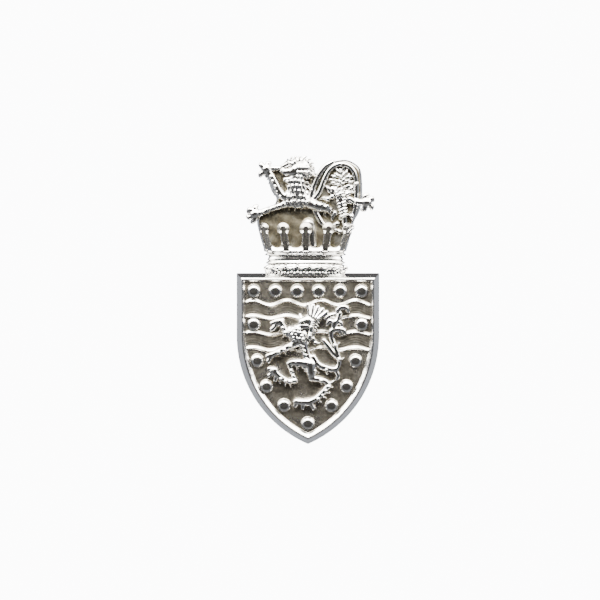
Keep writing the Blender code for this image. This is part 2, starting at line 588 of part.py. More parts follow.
def build_crown(parts, cutters, material):
    """The crown: a half-round moulded band, and a plate of tines that stands in front of the web."""
    profile = [(0.0, CROWN_BAND_TOP), *BAND_PROFILE, (0.0, CROWN_FOOT)]
    crown = turned("crown", profile, 40, parts, material)
    crown.scale = (1.0, CROWN_FLATTEN, 1.0)
    crown.location = Vector((CROWN_X, -WEB_BACK, 0.0)) * MM
    behind = half_space_behind("behind_crown", WEB_BACK, cutters)
    boolean(crown, as_cutter(behind), "DIFFERENCE")
    tines = plate("crown_tines", [tine_outline()], TINE_BACK, TINE_FRONT, cutters)
    bevel = tines.modifiers.new("edge", "BEVEL")
    bevel.width = TINE_BEVEL * MM
    bevel.segments = 1
    bevel.limit_method = "ANGLE"
    bevel.angle_limit = math.radians(60)
    boolean(crown, as_cutter(tines), "UNION")
    boolean(crown, as_cutter(post_pocket("crown_pocket", cutters)), "DIFFERENCE")
    seat = loft(
        "shield_seat",
        [
            (back_outline(-SEAT_GAP), -BEYOND),
            (back_outline(-SEAT_GAP), 0.0),
            (front_outline(-SEAT_GAP), SHELL_DEPTH - RIM_CHAMFER),
            (front_outline(-SEAT_GAP), BEYOND),
        ],
        cutters,
    )
    boolean(crown, as_cutter(seat), "DIFFERENCE")
    return crown


def build_back_plate(parts, material):
    """Closes the shell and carries the crown, the crest and the two posts."""
    shield = back_outline(PLATE_INSET)
    tongue = [
        (TONGUE_LEFT, SHIELD_TOP_BACK - PLATE_INSET),
        (TONGUE_LEFT, TONGUE_TOP),
        (TONGUE_RIGHT, TONGUE_TOP),
        (TONGUE_RIGHT, SHIELD_TOP_BACK - PLATE_INSET),
    ]
    edge = shield[:1] + tongue + shield[1:]
    holes = [circle((0.0, z), POST_HOLE_RADIUS, 20) for z in POST_Z]
    return plate("back_plate", [edge] + holes, 0.0, PLATE_THICKNESS, parts, material)


def build_post(name, z, parts, material):
    """A threaded post: its flat head is inside the plate, and its shank comes out of the back."""
    seat = -PLATE_THICKNESS - SEAT_GAP
    profile = [
        (0.0, POST_END),
        (POST_RADIUS - POST_CHAMFER, POST_END),
        (POST_RADIUS, POST_END - POST_CHAMFER),
        (POST_RADIUS, seat),
        (POST_HEAD_RADIUS, seat),
        (POST_HEAD_RADIUS, seat - POST_HEAD_THICKNESS),
        (0.0, seat - POST_HEAD_THICKNESS),
    ]
    post = turned(name, profile, 20, parts, material)
    post.rotation_euler = FACING_BACK
    post.location.z = z * MM
    shape_smooth(post)


def build_ring(name, z, start, sizes, parts, material):
    """A washer or a round nut on a post, from the distance start behind the badge backwards."""
    thickness, radius, chamfer = sizes
    end = start + thickness
    profile = [
        (radius - chamfer, end),
        (radius, end - chamfer),
        (radius, start + chamfer),
        (radius - chamfer, start),
        (POST_HOLE_RADIUS, start),
        (POST_HOLE_RADIUS, end),
    ]
    ring = turned(name, profile, 24, parts, material)
    ring.rotation_euler = FACING_BACK
    ring.location.z = z * MM
    shape_smooth(ring)


def build_clamp_plate(parts, material):
    """The long plate inside the cap that spreads the pull of the two nuts."""
    half, length = CLAMP_HALF_WIDTH, CLAMP_HALF_LENGTH
    edge = []
    for i in range(CLAMP_END_STEPS + 1):
        angle = math.pi * i / CLAMP_END_STEPS
        edge.append((half * math.cos(angle), length - half + half * math.sin(angle)))
    edge += [(-x, -z) for x, z in edge]
    holes = [circle((0.0, z), CLAMP_HOLE_RADIUS, 20) for z in POST_Z]
    back = -(CAP_WALL + CLAMP_THICKNESS)
    return plate("clamp_plate", [edge] + holes, back, -CAP_WALL, parts, material)


def build_fixings(parts, brass, steel):
    washer = (WASHER_THICKNESS, WASHER_RADIUS, WASHER_CHAMFER)
    nut = (NUT_THICKNESS, NUT_RADIUS, NUT_CHAMFER)
    washer_start = CAP_WALL + CLAMP_THICKNESS + SEAT_GAP
    nut_start = washer_start + WASHER_THICKNESS + SEAT_GAP
    for place, z in zip(("upper", "lower"), POST_Z):
        build_post(f"post_{place}", z, parts, brass)
        build_ring(f"washer_{place}", z, washer_start, washer, parts, steel)
        build_ring(f"nut_{place}", z, nut_start, nut, parts, brass)


def main():
    clear_scene()
    parts = new_collection("cap_badge")
    cutters = new_collection("cutters")
    silver = metal("silver_plate", (0.80, 0.79, 0.76), 0.18)
    brass = metal("brass", (0.72, 0.53, 0.26), 0.35)
    steel = metal("steel", (0.55, 0.55, 0.55), 0.40)
    build_shell(parts, cutters, silver)
    build_bosses(parts, silver)
    build_lion(parts, cutters, silver)
    build_crown(parts, cutters, silver)
    build_crest(parts, cutters, silver)
    build_back_plate(parts, brass)
    build_clamp_plate(parts, brass)
    build_fixings(parts, brass, steel)


main()
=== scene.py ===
"""The cap badge's looks: finely modelled silver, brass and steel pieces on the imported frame.

Shapes are worked out in millimetres as (x, depth, z), where depth counts forwards, towards the
viewer, from the badge's back plane, and are placed in metres.
"""

import math

import bmesh
import bpy
import numpy as np
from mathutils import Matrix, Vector


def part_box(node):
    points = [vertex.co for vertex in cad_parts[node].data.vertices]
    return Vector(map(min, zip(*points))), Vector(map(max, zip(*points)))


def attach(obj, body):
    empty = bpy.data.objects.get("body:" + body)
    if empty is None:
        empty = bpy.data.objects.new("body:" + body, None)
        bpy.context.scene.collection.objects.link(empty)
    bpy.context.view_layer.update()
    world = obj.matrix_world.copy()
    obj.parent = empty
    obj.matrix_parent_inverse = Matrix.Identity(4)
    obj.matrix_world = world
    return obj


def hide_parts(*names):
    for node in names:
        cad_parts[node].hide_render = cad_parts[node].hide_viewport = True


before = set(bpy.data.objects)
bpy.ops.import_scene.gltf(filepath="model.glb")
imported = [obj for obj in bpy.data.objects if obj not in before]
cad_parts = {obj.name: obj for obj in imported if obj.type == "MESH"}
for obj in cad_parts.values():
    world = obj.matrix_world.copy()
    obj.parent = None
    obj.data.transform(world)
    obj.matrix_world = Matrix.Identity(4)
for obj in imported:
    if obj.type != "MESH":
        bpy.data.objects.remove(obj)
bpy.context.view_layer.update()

MM = 0.001


# ---------------------------------------------------------------- reading the frame

def node_box(*nodes):
    """The lowest and highest corner of some CAD nodes, as (x, depth, z) in millimetres."""
    lows, highs = zip(*(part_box(node) for node in nodes))
    low = [min(corner[i] for corner in lows) / MM for i in range(3)]
    high = [max(corner[i] for corner in highs) / MM for i in range(3)]
    return (low[0], -high[1], low[2]), (high[0], -low[1], high[2])


SHELL_LOW, SHELL_HIGH = node_box("shield_shell")
CROWN_LOW, CROWN_HIGH = node_box("crown")
CREST_LOW, CREST_HIGH = node_box("crest_beast")
LION_LOW, LION_HIGH = node_box("lion_charge")
PLATE_LOW, PLATE_HIGH = node_box("back_plate")

SHIELD_HALF_WIDTH = SHELL_HIGH[0]
SHIELD_TOP, SHIELD_TIP = SHELL_HIGH[2], SHELL_LOW[2]
SHIELD_SHOULDER = -3.4  # where the straight sides turn into the arcs of the point
SHIELD_DEPTH = SHELL_HIGH[1]
DRAFT = 0.9  # how far the walls lean in, back to front
RIM_HEIGHT, RIM_CREST = 0.5, 0.26
RIM_WIDTH, RIM_WIDTH_ROUND_POINT = 0.6, 0.95
FIELD = SHIELD_DEPTH - RIM_HEIGHT
# Each side below the shoulder is an arc that leaves it upright and ends at the point.
POINT_DROP = SHIELD_SHOULDER - SHIELD_TIP
ARC_RADIUS = (SHIELD_HALF_WIDTH**2 + POINT_DROP**2) / (2 * SHIELD_HALF_WIDTH)
ARC_CENTRE = SHIELD_HALF_WIDTH - ARC_RADIUS


# ---------------------------------------------------------------- clay: shapes as distances

EMPTY = 9.0  # a distance that is far outside any shape
SHIELD_CELL, LION_CELL, CREST_CELL = 0.105, 0.085, 0.09  # how fine the grids are
# How enclosed a place is, measured with these, darkens the silver as painted shade with grime.
CREVICE_PASSES = 8  # each pass looks a little further round
CREVICE_RANGE = (0.54, 0.72)  # the share filled where a crevice starts, and where it is deep


class Clay:
    """A block of space, sampled on a fine grid, that shapes are added to and cut from."""

    def __init__(self, low, high, cell):
        self.cell = cell
        self.axes = [np.arange(a - 2 * cell, b + 3 * cell, cell) for a, b in zip(low, high)]
        self.value = np.full([len(axis) for axis in self.axes], EMPTY, np.float32)

    def window(self, low, high):
        """The part of the grid between two corners: its slices, and its x, depth and z."""
        slices = []
        for axis, a, b in zip(self.axes, low, high):
            first, last = np.searchsorted(axis, (a, b))
            slices.append(slice(max(0, first - 1), last + 1))
        x, d, z = (axis[part].astype(np.float32) for axis, part in zip(self.axes, slices))
        return tuple(slices), x[:, None, None], d[None, :, None], z[None, None, :]

    def everywhere(self):
        low, high = zip(*((axis[0], axis[-1]) for axis in self.axes))
        return self.window(low, high)

    def join(self, part, distance, blend=0.0):
        self.value[part] = smooth_min(self.value[part], distance, blend)

    def cut(self, part, distance, blend=0.0):
        self.value[part] = -smooth_min(-self.value[part], distance, blend)

    def stroke(self, points, blend=0.15, ground=0.0, cut=False, squash=1.0):
        """A limb through (x, z, forward, radius) points: a smooth line with a changing radius.
        squash flattens it from front to back."""
        path = smooth_path(np.array(points, float))
        xs, zs, ds, rs = path[:, 0], path[:, 1], path[:, 2] + ground, path[:, 3]
        reach = rs.max() + 2 * blend + 2 * self.cell
        part, x, d, z = self.window(
            (xs.min() - reach, ds.min() - reach, zs.min() - reach),
            (xs.max() + reach, ds.max() + reach, zs.max() + reach),
        )
        nearest = np.full(self.value[part].shape, EMPTY, np.float32)
        for i in range(len(path) - 1):
            along = np.array([xs[i + 1] - xs[i], (ds[i + 1] - ds[i]) / squash, zs[i + 1] - zs[i]])
            square = max(float(along @ along), 1e-9)
            px, pd, pz = x - xs[i], (d - ds[i]) / squash, z - zs[i]
            t = np.clip((px * along[0] + pd * along[1] + pz * along[2]) / square, 0.0, 1.0)
            gap = np.sqrt((px - t * along[0]) ** 2 + (pd - t * along[1]) ** 2 + (pz - t * along[2]) ** 2)
            np.minimum(nearest, gap - (rs[i] + t * (rs[i + 1] - rs[i])), out=nearest)
        if cut:
            self.cut(part, nearest, blend)
        else:
            self.join(part, nearest, blend)

    def front(self, x, z, behind):
        """How far forward the clay reaches at a place, or behind where there is none."""
        i, k = (int(np.argmin(np.abs(self.axes[axis] - at))) for axis, at in ((0, x), (2, z)))
        solid = np.flatnonzero(self.value[i, :, k] < 0)
        return max(behind, self.axes[1][solid[-1]]) if len(solid) else behind

    def skin(self, name, recess):
        """The surface of the clay as a smooth mesh, one vertex to a cell that it passes through.
        It carries how far each place is in a recess, as given, and how enclosed it is, as measured
        from how much of the space round it is filled, which the silver shows as painted shade with grime."""
        self.close()
        inside = self.value < 0
        where, index = self.crossed_cells(inside)
        where, normals = self.settle(where)
        faces = grid_faces(inside, index)
        points = np.stack([axis[0] + where[:, i] * self.cell for i, axis in enumerate(self.axes)], 1)
        points[:, 1] *= -1
        normals[:, 1] *= -1
        first, second, third = (points[faces[:, i]] for i in range(3))
        wrong = (np.cross(second - first, third - first) * normals[faces[:, 0]]).sum(1) < 0
        faces[wrong] = faces[wrong][:, ::-1]
        mesh = bpy.data.meshes.new(name)
        mesh.from_pydata(points * MM, [], faces)
        mesh.shade_smooth()
        mesh.normals_split_custom_set_from_vertices(normals)
        set_attribute(mesh, "recess", recess(points[:, 0], -points[:, 1], points[:, 2]))
        # painted shade with grime: the more enclosed a place, the darker the silver there
        set_attribute(mesh, "hollow_shade_and_grime", ramp(sample(share_filled(inside), where), *CREVICE_RANGE))
        return add_piece(name, mesh)

    def close(self):
        """Keeps the clay off the grid's outermost layer, so that its surface has no open edge."""
        for axis in range(3):
            for end in (0, -1):
                outermost = tuple(end if i == axis else slice(None) for i in range(3))
                self.value[outermost] = np.maximum(self.value[outermost], self.cell)

    def crossed_cells(self, inside):
        """The middle of the surface in each cell that it crosses, and the cells' numbers."""
        shape = [n - 1 for n in inside.shape]
        corners = [(i, j, k) for i in (0, 1) for j in (0, 1) for k in (0, 1)]
        count = np.zeros(shape, np.int8)
        for corner in corners:
            count += inside[tuple(slice(c, c + n) for c, n in zip(corner, shape))]
        mixed = (count > 0) & (count < len(corners))
        cells = np.argwhere(mixed)
        index = np.full(shape, -1, np.int64)
        index[mixed] = np.arange(len(cells))
        total, crossings = np.zeros((len(cells), 3)), np.zeros(len(cells))
        for a in corners:
            for axis in range(3):
                if a[axis]:
                    continue
                b = tuple(1 if i == axis else c for i, c in enumerate(a))
                va = self.value[tuple((cells + a).T)]
                vb = self.value[tuple((cells + b).T)]
                crossed = (va < 0) != (vb < 0)
                t = np.where(crossed, va / np.where(va == vb, 1.0, va - vb), 0.0)
                point = np.array(a, float) + t[:, None] * (np.array(b) - np.array(a))
                total += np.where(crossed[:, None], point, 0.0)
                crossings += crossed
        return cells + total / crossings[:, None], index

    def settle(self, where, steps=2, longest=0.4):
        """Moves points onto the surface, in cells, and gives its normals there."""
        slopes = np.gradient(self.value)
        for _ in range(steps):
            height = sample(self.value, where)
            slope = np.stack([sample(s, where) for s in slopes], 1)
            step = height[:, None] * slope / np.maximum((slope**2).sum(1), 0.02)[:, None]
            where = where - np.clip(step, -longest, longest)
            where = np.clip(where, 0, np.array(self.value.shape) - 1.001)
        normals = np.stack([sample(s, where) for s in slopes], 1)
        normals /= np.maximum(np.linalg.norm(normals, axis=1), 1e-9)[:, None]
        return where, normals


def grid_faces(inside, index):
    """A face between each two neighbours in the grid of which one is inside."""
    faces = []
    for axis in range(3):
        near = [slice(0, -1) if i == axis else slice(1, -1) for i in range(3)]
        far = [slice(1, None) if i == axis else slice(1, -1) for i in range(3)]
        crossed = np.argwhere(inside[tuple(near)] != inside[tuple(far)])
        u, v = [i for i in range(3) if i != axis]
        ring = []
        for du, dv in ((0, 0), (1, 0), (1, 1), (0, 1)):
            at = crossed.copy()
            at[:, u] += du
            at[:, v] += dv
            ring.append(index[tuple(at.T)])
        faces.append(np.stack(ring, 1))
    return np.concatenate(faces)


def share_filled(inside):
    """The share of the space round each point of the grid that is filled."""
    filled = inside.astype(np.float32)
    for axis in range(3):
        for _ in range(CREVICE_PASSES):
            filled = (np.roll(filled, 1, axis) + 2 * filled + np.roll(filled, -1, axis)) / 4
    return filled


def set_attribute(mesh, name, amounts):
    """Gives each vertex a number that the materials read."""
    attribute = mesh.attributes.new(name, "FLOAT", "POINT")
    attribute.data.foreach_set("value", np.asarray(amounts, np.float32))


def smooth_min(a, b, blend):
    if blend <= 0:
        return np.minimum(a, b)
    h = np.clip(0.5 + 0.5 * (b - a) / blend, 0.0, 1.0)
    return b + (a - b) * h - blend * h * (1 - h)


def smooth_max(a, b, blend):
    return -smooth_min(-a, -b, blend)


def ramp(value, start, end):
    """0 before start, 1 after end, and a smooth rise between them."""
    t = np.clip((value - start) / (end - start), 0.0, 1.0)
    return t * t * (3 - 2 * t)


def sample(grid, where):
    """Reads a grid between its points."""
    base = np.minimum(where.astype(int), np.array(grid.shape) - 2)
    part = where - base
    result = np.zeros(len(where))
    for i in (0, 1):
        for j in (0, 1):
            for k in (0, 1):
                weight = np.prod(np.where([i, j, k], part, 1 - part), axis=1)
                result += weight * grid[base[:, 0] + i, base[:, 1] + j, base[:, 2] + k]
    return result


def smooth_path(points, steps=6):
    """A smooth line through points of any number of values (Catmull-Rom)."""
    if len(points) < 3:
        return points
    padded = np.vstack([2 * points[0] - points[1], points, 2 * points[-1] - points[-2]])
    result = []
    for i in range(len(points) - 1):
        a, b, c, d = padded[i : i + 4]
        for t in np.linspace(0, 1, steps, endpoint=False):
            bend, swing = 2 * a - 5 * b + 4 * c - d, 3 * b - a - 3 * c + d
            result.append(0.5 * (2 * b + (c - a) * t + bend * t**2 + swing * t**3))
    result.append(points[-1])
    result = np.array(result)
    result[:, 3] = np.clip(result[:, 3], points[:, 3].min(), points[:, 3].max())
    return result


# ---------------------------------------------------------------- pieces

def add_piece(name, mesh):
    obj = bpy.data.objects.new(name, mesh)
    bpy.context.scene.collection.objects.link(obj)
    return obj


def finish_piece(obj, material, body, node):
    """Gives a piece its material and body, and hides the CAD node that it stands for."""
    obj.data.materials.clear()
    obj.data.materials.append(material)
    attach(obj, body)
    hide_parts(node)


def grid_mesh(name, rows, closed_rows=False):
    """A mesh from rows of points in metres; each row closes on itself."""
    points = np.array(rows, float)
    count, around = points.shape[:2]
    first = np.arange(count * around).reshape(count, around)
    lower, upper = (first, np.roll(first, -1, 0)) if closed_rows else (first[:-1], first[1:])
    faces = np.stack([lower, np.roll(lower, -1, 1), np.roll(upper, -1, 1), upper], -1).reshape(-1, 4)
    mesh = bpy.data.meshes.new(name)
    mesh.from_pydata(points.reshape(-1, 3), [], faces.tolist())
    return mesh


def turned_rows(profile, centre, around, wobble=None):
    """Rings of points about an axis along depth: profile is (radius, depth) in millimetres."""
    x, z = centre
    turns = 2 * np.pi * np.arange(around) / around
    rows = []
    for radius, depth in profile:
        r = radius + (wobble(turns, radius, depth) if wobble else 0.0)
        ring = (x + r * np.sin(turns), np.full(around, -depth), z + r * np.cos(turns))
        rows.append(np.stack(ring, 1) * MM)
    return rows


WELD = 0.0005  # in millimetres
ON_AXIS = 1e-4  # a radius so small that its ring welds to a point


def tidy_mesh(mesh, angle):
    """Welds, turns the faces outwards and shades smooth."""
    bm = bmesh.new()
    bm.from_mesh(mesh)
    bmesh.ops.remove_doubles(bm, verts=bm.verts, dist=WELD * MM)
    bmesh.ops.recalc_face_normals(bm, faces=bm.faces)
    bm.to_mesh(mesh)
    bm.free()
    mesh.shade_smooth()
    mesh.set_sharp_from_angle(angle=math.radians(angle))


# ---------------------------------------------------------------- the shield

# The wavy ridges: height of each one's mean line, and how far it swings.
RIDGES = ((2.05, 0.42), (-0.36, 0.26), (-3.10, 0.26), (-5.75, 0.26))
RIDGE_PERIOD, RIDGE_CREST_X = 5.8, 2.25
RIDGE_HEIGHT, RIDGE_ABOVE, RIDGE_BELOW = 0.34, 0.44, 0.2
HATCH_PITCH, HATCH_DEPTH = 0.42, 0.035
HATCH_BELOW_RIDGE, HATCH_ABOVE_RIDGE = 0.2, 0.5  # how close the hatching comes to the ridges

# The bosses: the row along the top, the pairs down the sides (height, left, right) and the last.
BOSS_ROW = (4.15, (-9.2, -5.5, -1.85, 1.8, 5.45, 9.1))
BOSS_PAIRS = ((-1.5, -9.2, 9.1), (-7.65, -8.6, 8.05), (-12.0, -7.0, 6.5), (-15.25, -4.05, 3.95))
BOSS_POINT = (0.0, -18.3)
BOSS_RADIUS, BOSS_HEIGHT, BOSS_SUNK = 1.24, 0.66, 0.06

SHELL_WALL = 1.2
PLATE_ROOM = 0.1  # between the shell and the back plate
# The back plate's tongue, behind crown and crest: its sides, and the cut of its upper corners.
TONGUE_LEFT, TONGUE_RIGHT, TONGUE_CORNER = -4.4, 3.6, 0.6


def shield_distance(x, z, inset):
    """Signed distance to the shield's edge, drawn in by inset."""
    across = np.abs(x)
    side = across - SHIELD_HALF_WIDTH
    arc = np.sqrt((across - ARC_CENTRE) ** 2 + (z - SHIELD_SHOULDER) ** 2) - ARC_RADIUS
    return smooth_max(np.where(z > SHIELD_SHOULDER, side, arc), z - SHIELD_TOP, 0.2) + inset


def wall_lean(depth):
    """How far the shield's wall has drawn in at a depth."""
    return np.clip(depth / SHIELD_DEPTH, 0, 1) * DRAFT


def rim_width(z):
    """The rim is narrow along the top and the sides, and broad round the point."""
    return RIM_WIDTH + (RIM_WIDTH_ROUND_POINT - RIM_WIDTH) * ramp(z, -1.0, -9.0)


def ridge_heights(x, z, edge):
    """How far the wavy ridges stand above the field. Each has a long slope above its crest and
    a short one below, and ends at the rim."""
    total = np.zeros(np.broadcast(x, z).shape)
    for mean, swing in RIDGES:
        line = mean + swing * np.cos(2 * np.pi * (x - RIDGE_CREST_X) / RIDGE_PERIOD)
        above = z - line
        up = np.clip(1 - above / RIDGE_ABOVE, 0, 1) ** 1.2
        down = np.clip(1 + above / RIDGE_BELOW, 0, 1)
        height = RIDGE_HEIGHT * np.where(above > 0, up, down**0.8)
        total = np.maximum(total, height * ramp(edge, RIM_WIDTH * 0.8, RIM_WIDTH * 1.7))
    return total


def field_wear(x, z):
    """The struck field's gentle unevenness, in millimetres."""
    broad = 0.016 * np.sin(1.9 * x + 0.7 * z) * np.sin(1.3 * z - 0.8 * x + 1)
    return broad + 0.005 * np.sin(3.1 * x + 2.2 * z)


def hatching(x, z, edge):
    """Fine engraved lines between the ridges: they follow the waves in the upper and lower
    bands, and run upright in the middle one."""
    level = z - RIDGES[0][1] * np.cos(2 * np.pi * (x - RIDGE_CREST_X) / RIDGE_PERIOD)
    waves = 0.5 + 0.5 * np.cos(2 * np.pi * level / HATCH_PITCH)
    upright = 0.5 + 0.5 * np.cos(2 * np.pi * x / HATCH_PITCH)
    means = [mean for mean, _ in RIDGES]
    depth = np.zeros(level.shape)
    for upper, lower, lines in zip(means, means[1:], (waves, 0.8 * upright, waves)):
        depth += lines * ((level < upper - HATCH_BELOW_RIDGE) & (level > lower + HATCH_ABOVE_RIDGE))
    return -HATCH_DEPTH * depth * (edge > RIM_WIDTH)


def make_shield(silver):
    clay = Clay(SHELL_LOW, SHELL_HIGH, SHIELD_CELL)
    part, x, d, z = clay.everywhere()
    wall = shield_distance(x, z, wall_lean(d))
    edge = -shield_distance(x[:, 0], z[:, 0], DRAFT)
    inner = rim_width(z[:, 0]) - RIM_CREST
    across = np.where(edge < RIM_CREST, edge / RIM_CREST - 1, (edge - RIM_CREST) / inner)
    outer_round = 0.55 + 0.45 * np.sqrt(np.clip(1 - across**2, 0, 1))
    inner_slope = np.clip(1 - across, 0, 1) ** 0.85
    rim = RIM_HEIGHT * np.where(edge < RIM_CREST, outer_round, inner_slope)
    flat = x[:, 0], z[:, 0], edge
    height = FIELD + np.maximum(rim, ridge_heights(*flat)) + field_wear(*flat[:2]) + hatching(*flat)
    front = (d - height[:, None, :]) * 0.9
    clay.join(part, smooth_max(smooth_max(wall, front, 0.12), -d, 0.05))
    # the hollow for the back plate, and the way out of it for the plate's tongue
    above_plate = d - PLATE_HIGH[1] - PLATE_ROOM
    hollow = smooth_max(shield_distance(x, z, SHELL_WALL), above_plate, 0.0)
    beside_tongue = np.maximum(TONGUE_LEFT - x, x - TONGUE_RIGHT) - PLATE_ROOM
    clay.cut(part, np.minimum(hollow, np.maximum(beside_tongue, np.maximum(-z, above_plate))))

    def recess(px, pd, pz):
        width = rim_width(pz)
        inner = ramp(-shield_distance(px, pz, DRAFT), width * 0.7, width * 1.1)
        return inner * ramp(-pd, -FIELD - 0.22, -FIELD - 0.05)

    finish_piece(clay.skin("shield_relief", recess), silver, "badge", "shield_shell")


def boss_places():
    level, across = BOSS_ROW
    places = [(x, level) for x in across]
    for z, left, right in BOSS_PAIRS:
        places += [(left, z), (right, z)]
    return places + [BOSS_POINT]


def make_bosses(silver):
    """Domed rivet heads with a soft shoulder, no two struck quite alike."""
    rings = 16
    for i, (x, z) in enumerate(boss_places()):
        name = f"boss_{i + 1:02d}"
        lean = 0.02 * math.sin(2.3 * i)
        height = BOSS_HEIGHT * (1 + 0.03 * math.cos(1.7 * i))
        profile = []
        for step in range(rings + 1):
            out = step / rings
            profile.append((max(ON_AXIS, BOSS_RADIUS * out**0.9), height * (1 - out**3.4) + 0.02))
        profile += [(r, -BOSS_SUNK) for r in (BOSS_RADIUS, BOSS_RADIUS * 0.6, ON_AXIS)]
        profile = [(r, FIELD + h) for r, h in profile]
        rows = turned_rows(profile, (x, z), 40, lambda a, r, d: lean * r * np.cos(a + i))
        mesh = grid_mesh(name, rows)
        tidy_mesh(mesh, 60)
        # The boss tops, from 0.4 mm above the field up, take a little of the stain, more the higher they
        # stand.
        above = (max(0.0, -v.co.y / MM - FIELD - 0.4) for v in mesh.vertices)
        set_attribute(mesh, "recess", [0.5 * height for height in above])
        finish_piece(add_piece(name, mesh), silver, "badge", f"roundel_{i + 1:02d}")


# ---------------------------------------------------------------- the lion

LION_BACK = LION_LOW[1] + 1.35
# Strokes through points of x, z, how far forward, and radius. The crest's are the same.
LION_LIMBS = (
    # body: from the shoulder down to the hips, with the chest as a bulge to the left
    ((-1.0, -3.3, 0.1, 1.15), (-0.9, -4.6, 0.1, 1.0), (-0.35, -6.2, 0.1, 0.8), (0.4, -8.4, 0.1, 0.95)),
    ((-1.9, -2.4, 0.25, 0.95), (-2.6, -3.1, 0.25, 1.05), (-2.0, -3.9, 0.2, 0.95)),
    # head: skull, muzzle, lower jaw and ear
    ((-0.1, -0.95, 0.3, 1.1), (-0.8, -1.15, 0.4, 0.95)),
    ((-0.3, -1.75, 0.65, 0.7), (-1.0, -1.9, 0.65, 0.6), (-1.45, -1.95, 0.6, 0.5)),
    ((-0.2, -2.6, 0.4, 0.5), (-0.85, -2.75, 0.4, 0.38)),
    ((-1.15, -0.3, 0.4, 0.34), (-1.35, 0.2, 0.3, 0.2)),
    # raised arm and paw
    ((-2.6, -3.2, 0.3, 0.8), (-3.6, -2.9, 0.35, 0.6), (-4.1, -2.0, 0.3, 0.52), (-4.6, -1.2, 0.3, 0.6)),
    ((-4.8, -0.95, 0.35, 0.58), (-5.2, -1.2, 0.3, 0.58)),
    ((-5.3, -0.9, 0.35, 0.42), (-6.1, -1.3, 0.3, 0.36)),
    ((-5.2, -1.4, 0.35, 0.42), (-6.1, -2.3, 0.3, 0.4)),
    ((-4.7, -0.9, 0.35, 0.4), (-4.3, -0.7, 0.3, 0.34)),
    # lower arm and paw
    ((-1.2, -4.2, 0.35, 0.8), (-2.6, -4.9, 0.35, 0.64), (-4.2, -5.7, 0.3, 0.54), (-6.2, -6.7, 0.25, 0.5)),
    ((-6.2, -6.6, 0.3, 0.42), (-6.8, -6.8, 0.3, 0.38)),
    ((-6.3, -7.0, 0.3, 0.4), (-6.7, -7.7, 0.3, 0.36)),
    # raised hind leg: thigh, shank, foot
    ((0.2, -8.2, 0.25, 0.95), (-1.2, -7.95, 0.35, 0.72), (-2.6, -7.9, 0.3, 0.58), (-3.3, -8.1, 0.25, 0.42)),
    ((-3.1, -8.4, 0.25, 0.42), (-2.75, -9.4, 0.2, 0.36), (-2.2, -10.9, 0.2, 0.36)),
    ((-2.1, -11.0, 0.3, 0.45), (-3.5, -11.0, 0.35, 0.48), (-4.7, -10.3, 0.35, 0.52),
     (-5.6, -9.6, 0.35, 0.66)),
    ((-5.6, -9.2, 0.4, 0.58), (-6.1, -9.4, 0.35, 0.5)),
    ((-6.0, -9.0, 0.35, 0.4), (-6.6, -9.0, 0.3, 0.34)),
    ((-6.0, -9.8, 0.35, 0.4), (-6.6, -10.1, 0.3, 0.34)),
    ((-5.3, -10.2, 0.35, 0.38), (-5.5, -10.9, 0.3, 0.32)),
    # standing leg: thigh, hock, shank, foot
    ((0.4, -8.3, 0.25, 1.0), (0.55, -9.6, 0.3, 0.85), (0.6, -10.5, 0.25, 0.6)),
    ((0.5, -10.6, 0.3, 0.5), (1.7, -10.75, 0.35, 0.52), (2.9, -11.1, 0.3, 0.5), (3.5, -11.8, 0.25, 0.44)),
    ((3.3, -12.0, 0.3, 0.44), (2.4, -13.1, 0.3, 0.5), (1.3, -14.1, 0.3, 0.54), (0.0, -14.6, 0.3, 0.56)),
    ((0.2, -14.7, 0.35, 0.55), (-1.1, -14.6, 0.4, 0.56), (-2.0, -14.5, 0.35, 0.5)),
    ((-1.9, -14.7, 0.35, 0.4), (-2.2, -15.3, 0.3, 0.3)),
    ((-0.8, -14.9, 0.35, 0.4), (-0.9, -15.6, 0.3, 0.34)),
    ((0.5, -15.0, 0.35, 0.42), (1.0, -15.7, 0.3, 0.32)),
    # tail: out to the right and up, with a fork, an end leaf and a knot
    ((0.9, -7.0, 0.25, 0.55), (1.7, -8.2, 0.3, 0.58), (3.0, -8.85, 0.3, 0.58), (4.4, -9.1, 0.3, 0.52),
     (5.1, -8.6, 0.25, 0.42), (5.3, -7.6, 0.25, 0.42), (4.8, -5.8, 0.25, 0.44), (4.0, -3.8, 0.25, 0.44)),
    ((5.1, -7.2, 0.25, 0.4), (4.2, -6.2, 0.3, 0.48), (3.3, -5.0, 0.3, 0.52), (2.7, -4.2, 0.25, 0.44)),
    ((4.7, -9.2, 0.25, 0.42), (5.1, -10.2, 0.25, 0.36), (4.8, -10.8, 0.2, 0.28)),
    ((3.9, -3.4, 0.3, 0.48), (4.0, -2.6, 0.35, 0.52), (4.9, -2.3, 0.35, 0.5), (5.9, -2.45, 0.3, 0.48),
     (6.3, -3.0, 0.25, 0.36)),
    # tuft above the knot, and the curled leaf at its top
    ((4.3, -2.4, 0.25, 0.4), (4.5, -1.3, 0.35, 0.58), (5.0, -0.6, 0.3, 0.46), (5.4, 0.4, 0.3, 0.4)),
    ((4.5, -1.2, 0.3, 0.46), (3.7, -0.9, 0.3, 0.42), (3.3, -1.4, 0.25, 0.34)),
    ((4.9, -1.1, 0.3, 0.42), (5.5, -1.2, 0.3, 0.38), (5.7, -1.7, 0.2, 0.28)),
    ((3.0, -0.45, 0.25, 0.36), (3.7, 0.0, 0.3, 0.42), (4.5, 0.25, 0.25, 0.36)),
    ((5.0, 0.9, 0.3, 0.42), (5.7, 1.45, 0.35, 0.48), (6.5, 1.3, 0.3, 0.46), (6.8, 0.8, 0.2, 0.34)),
)


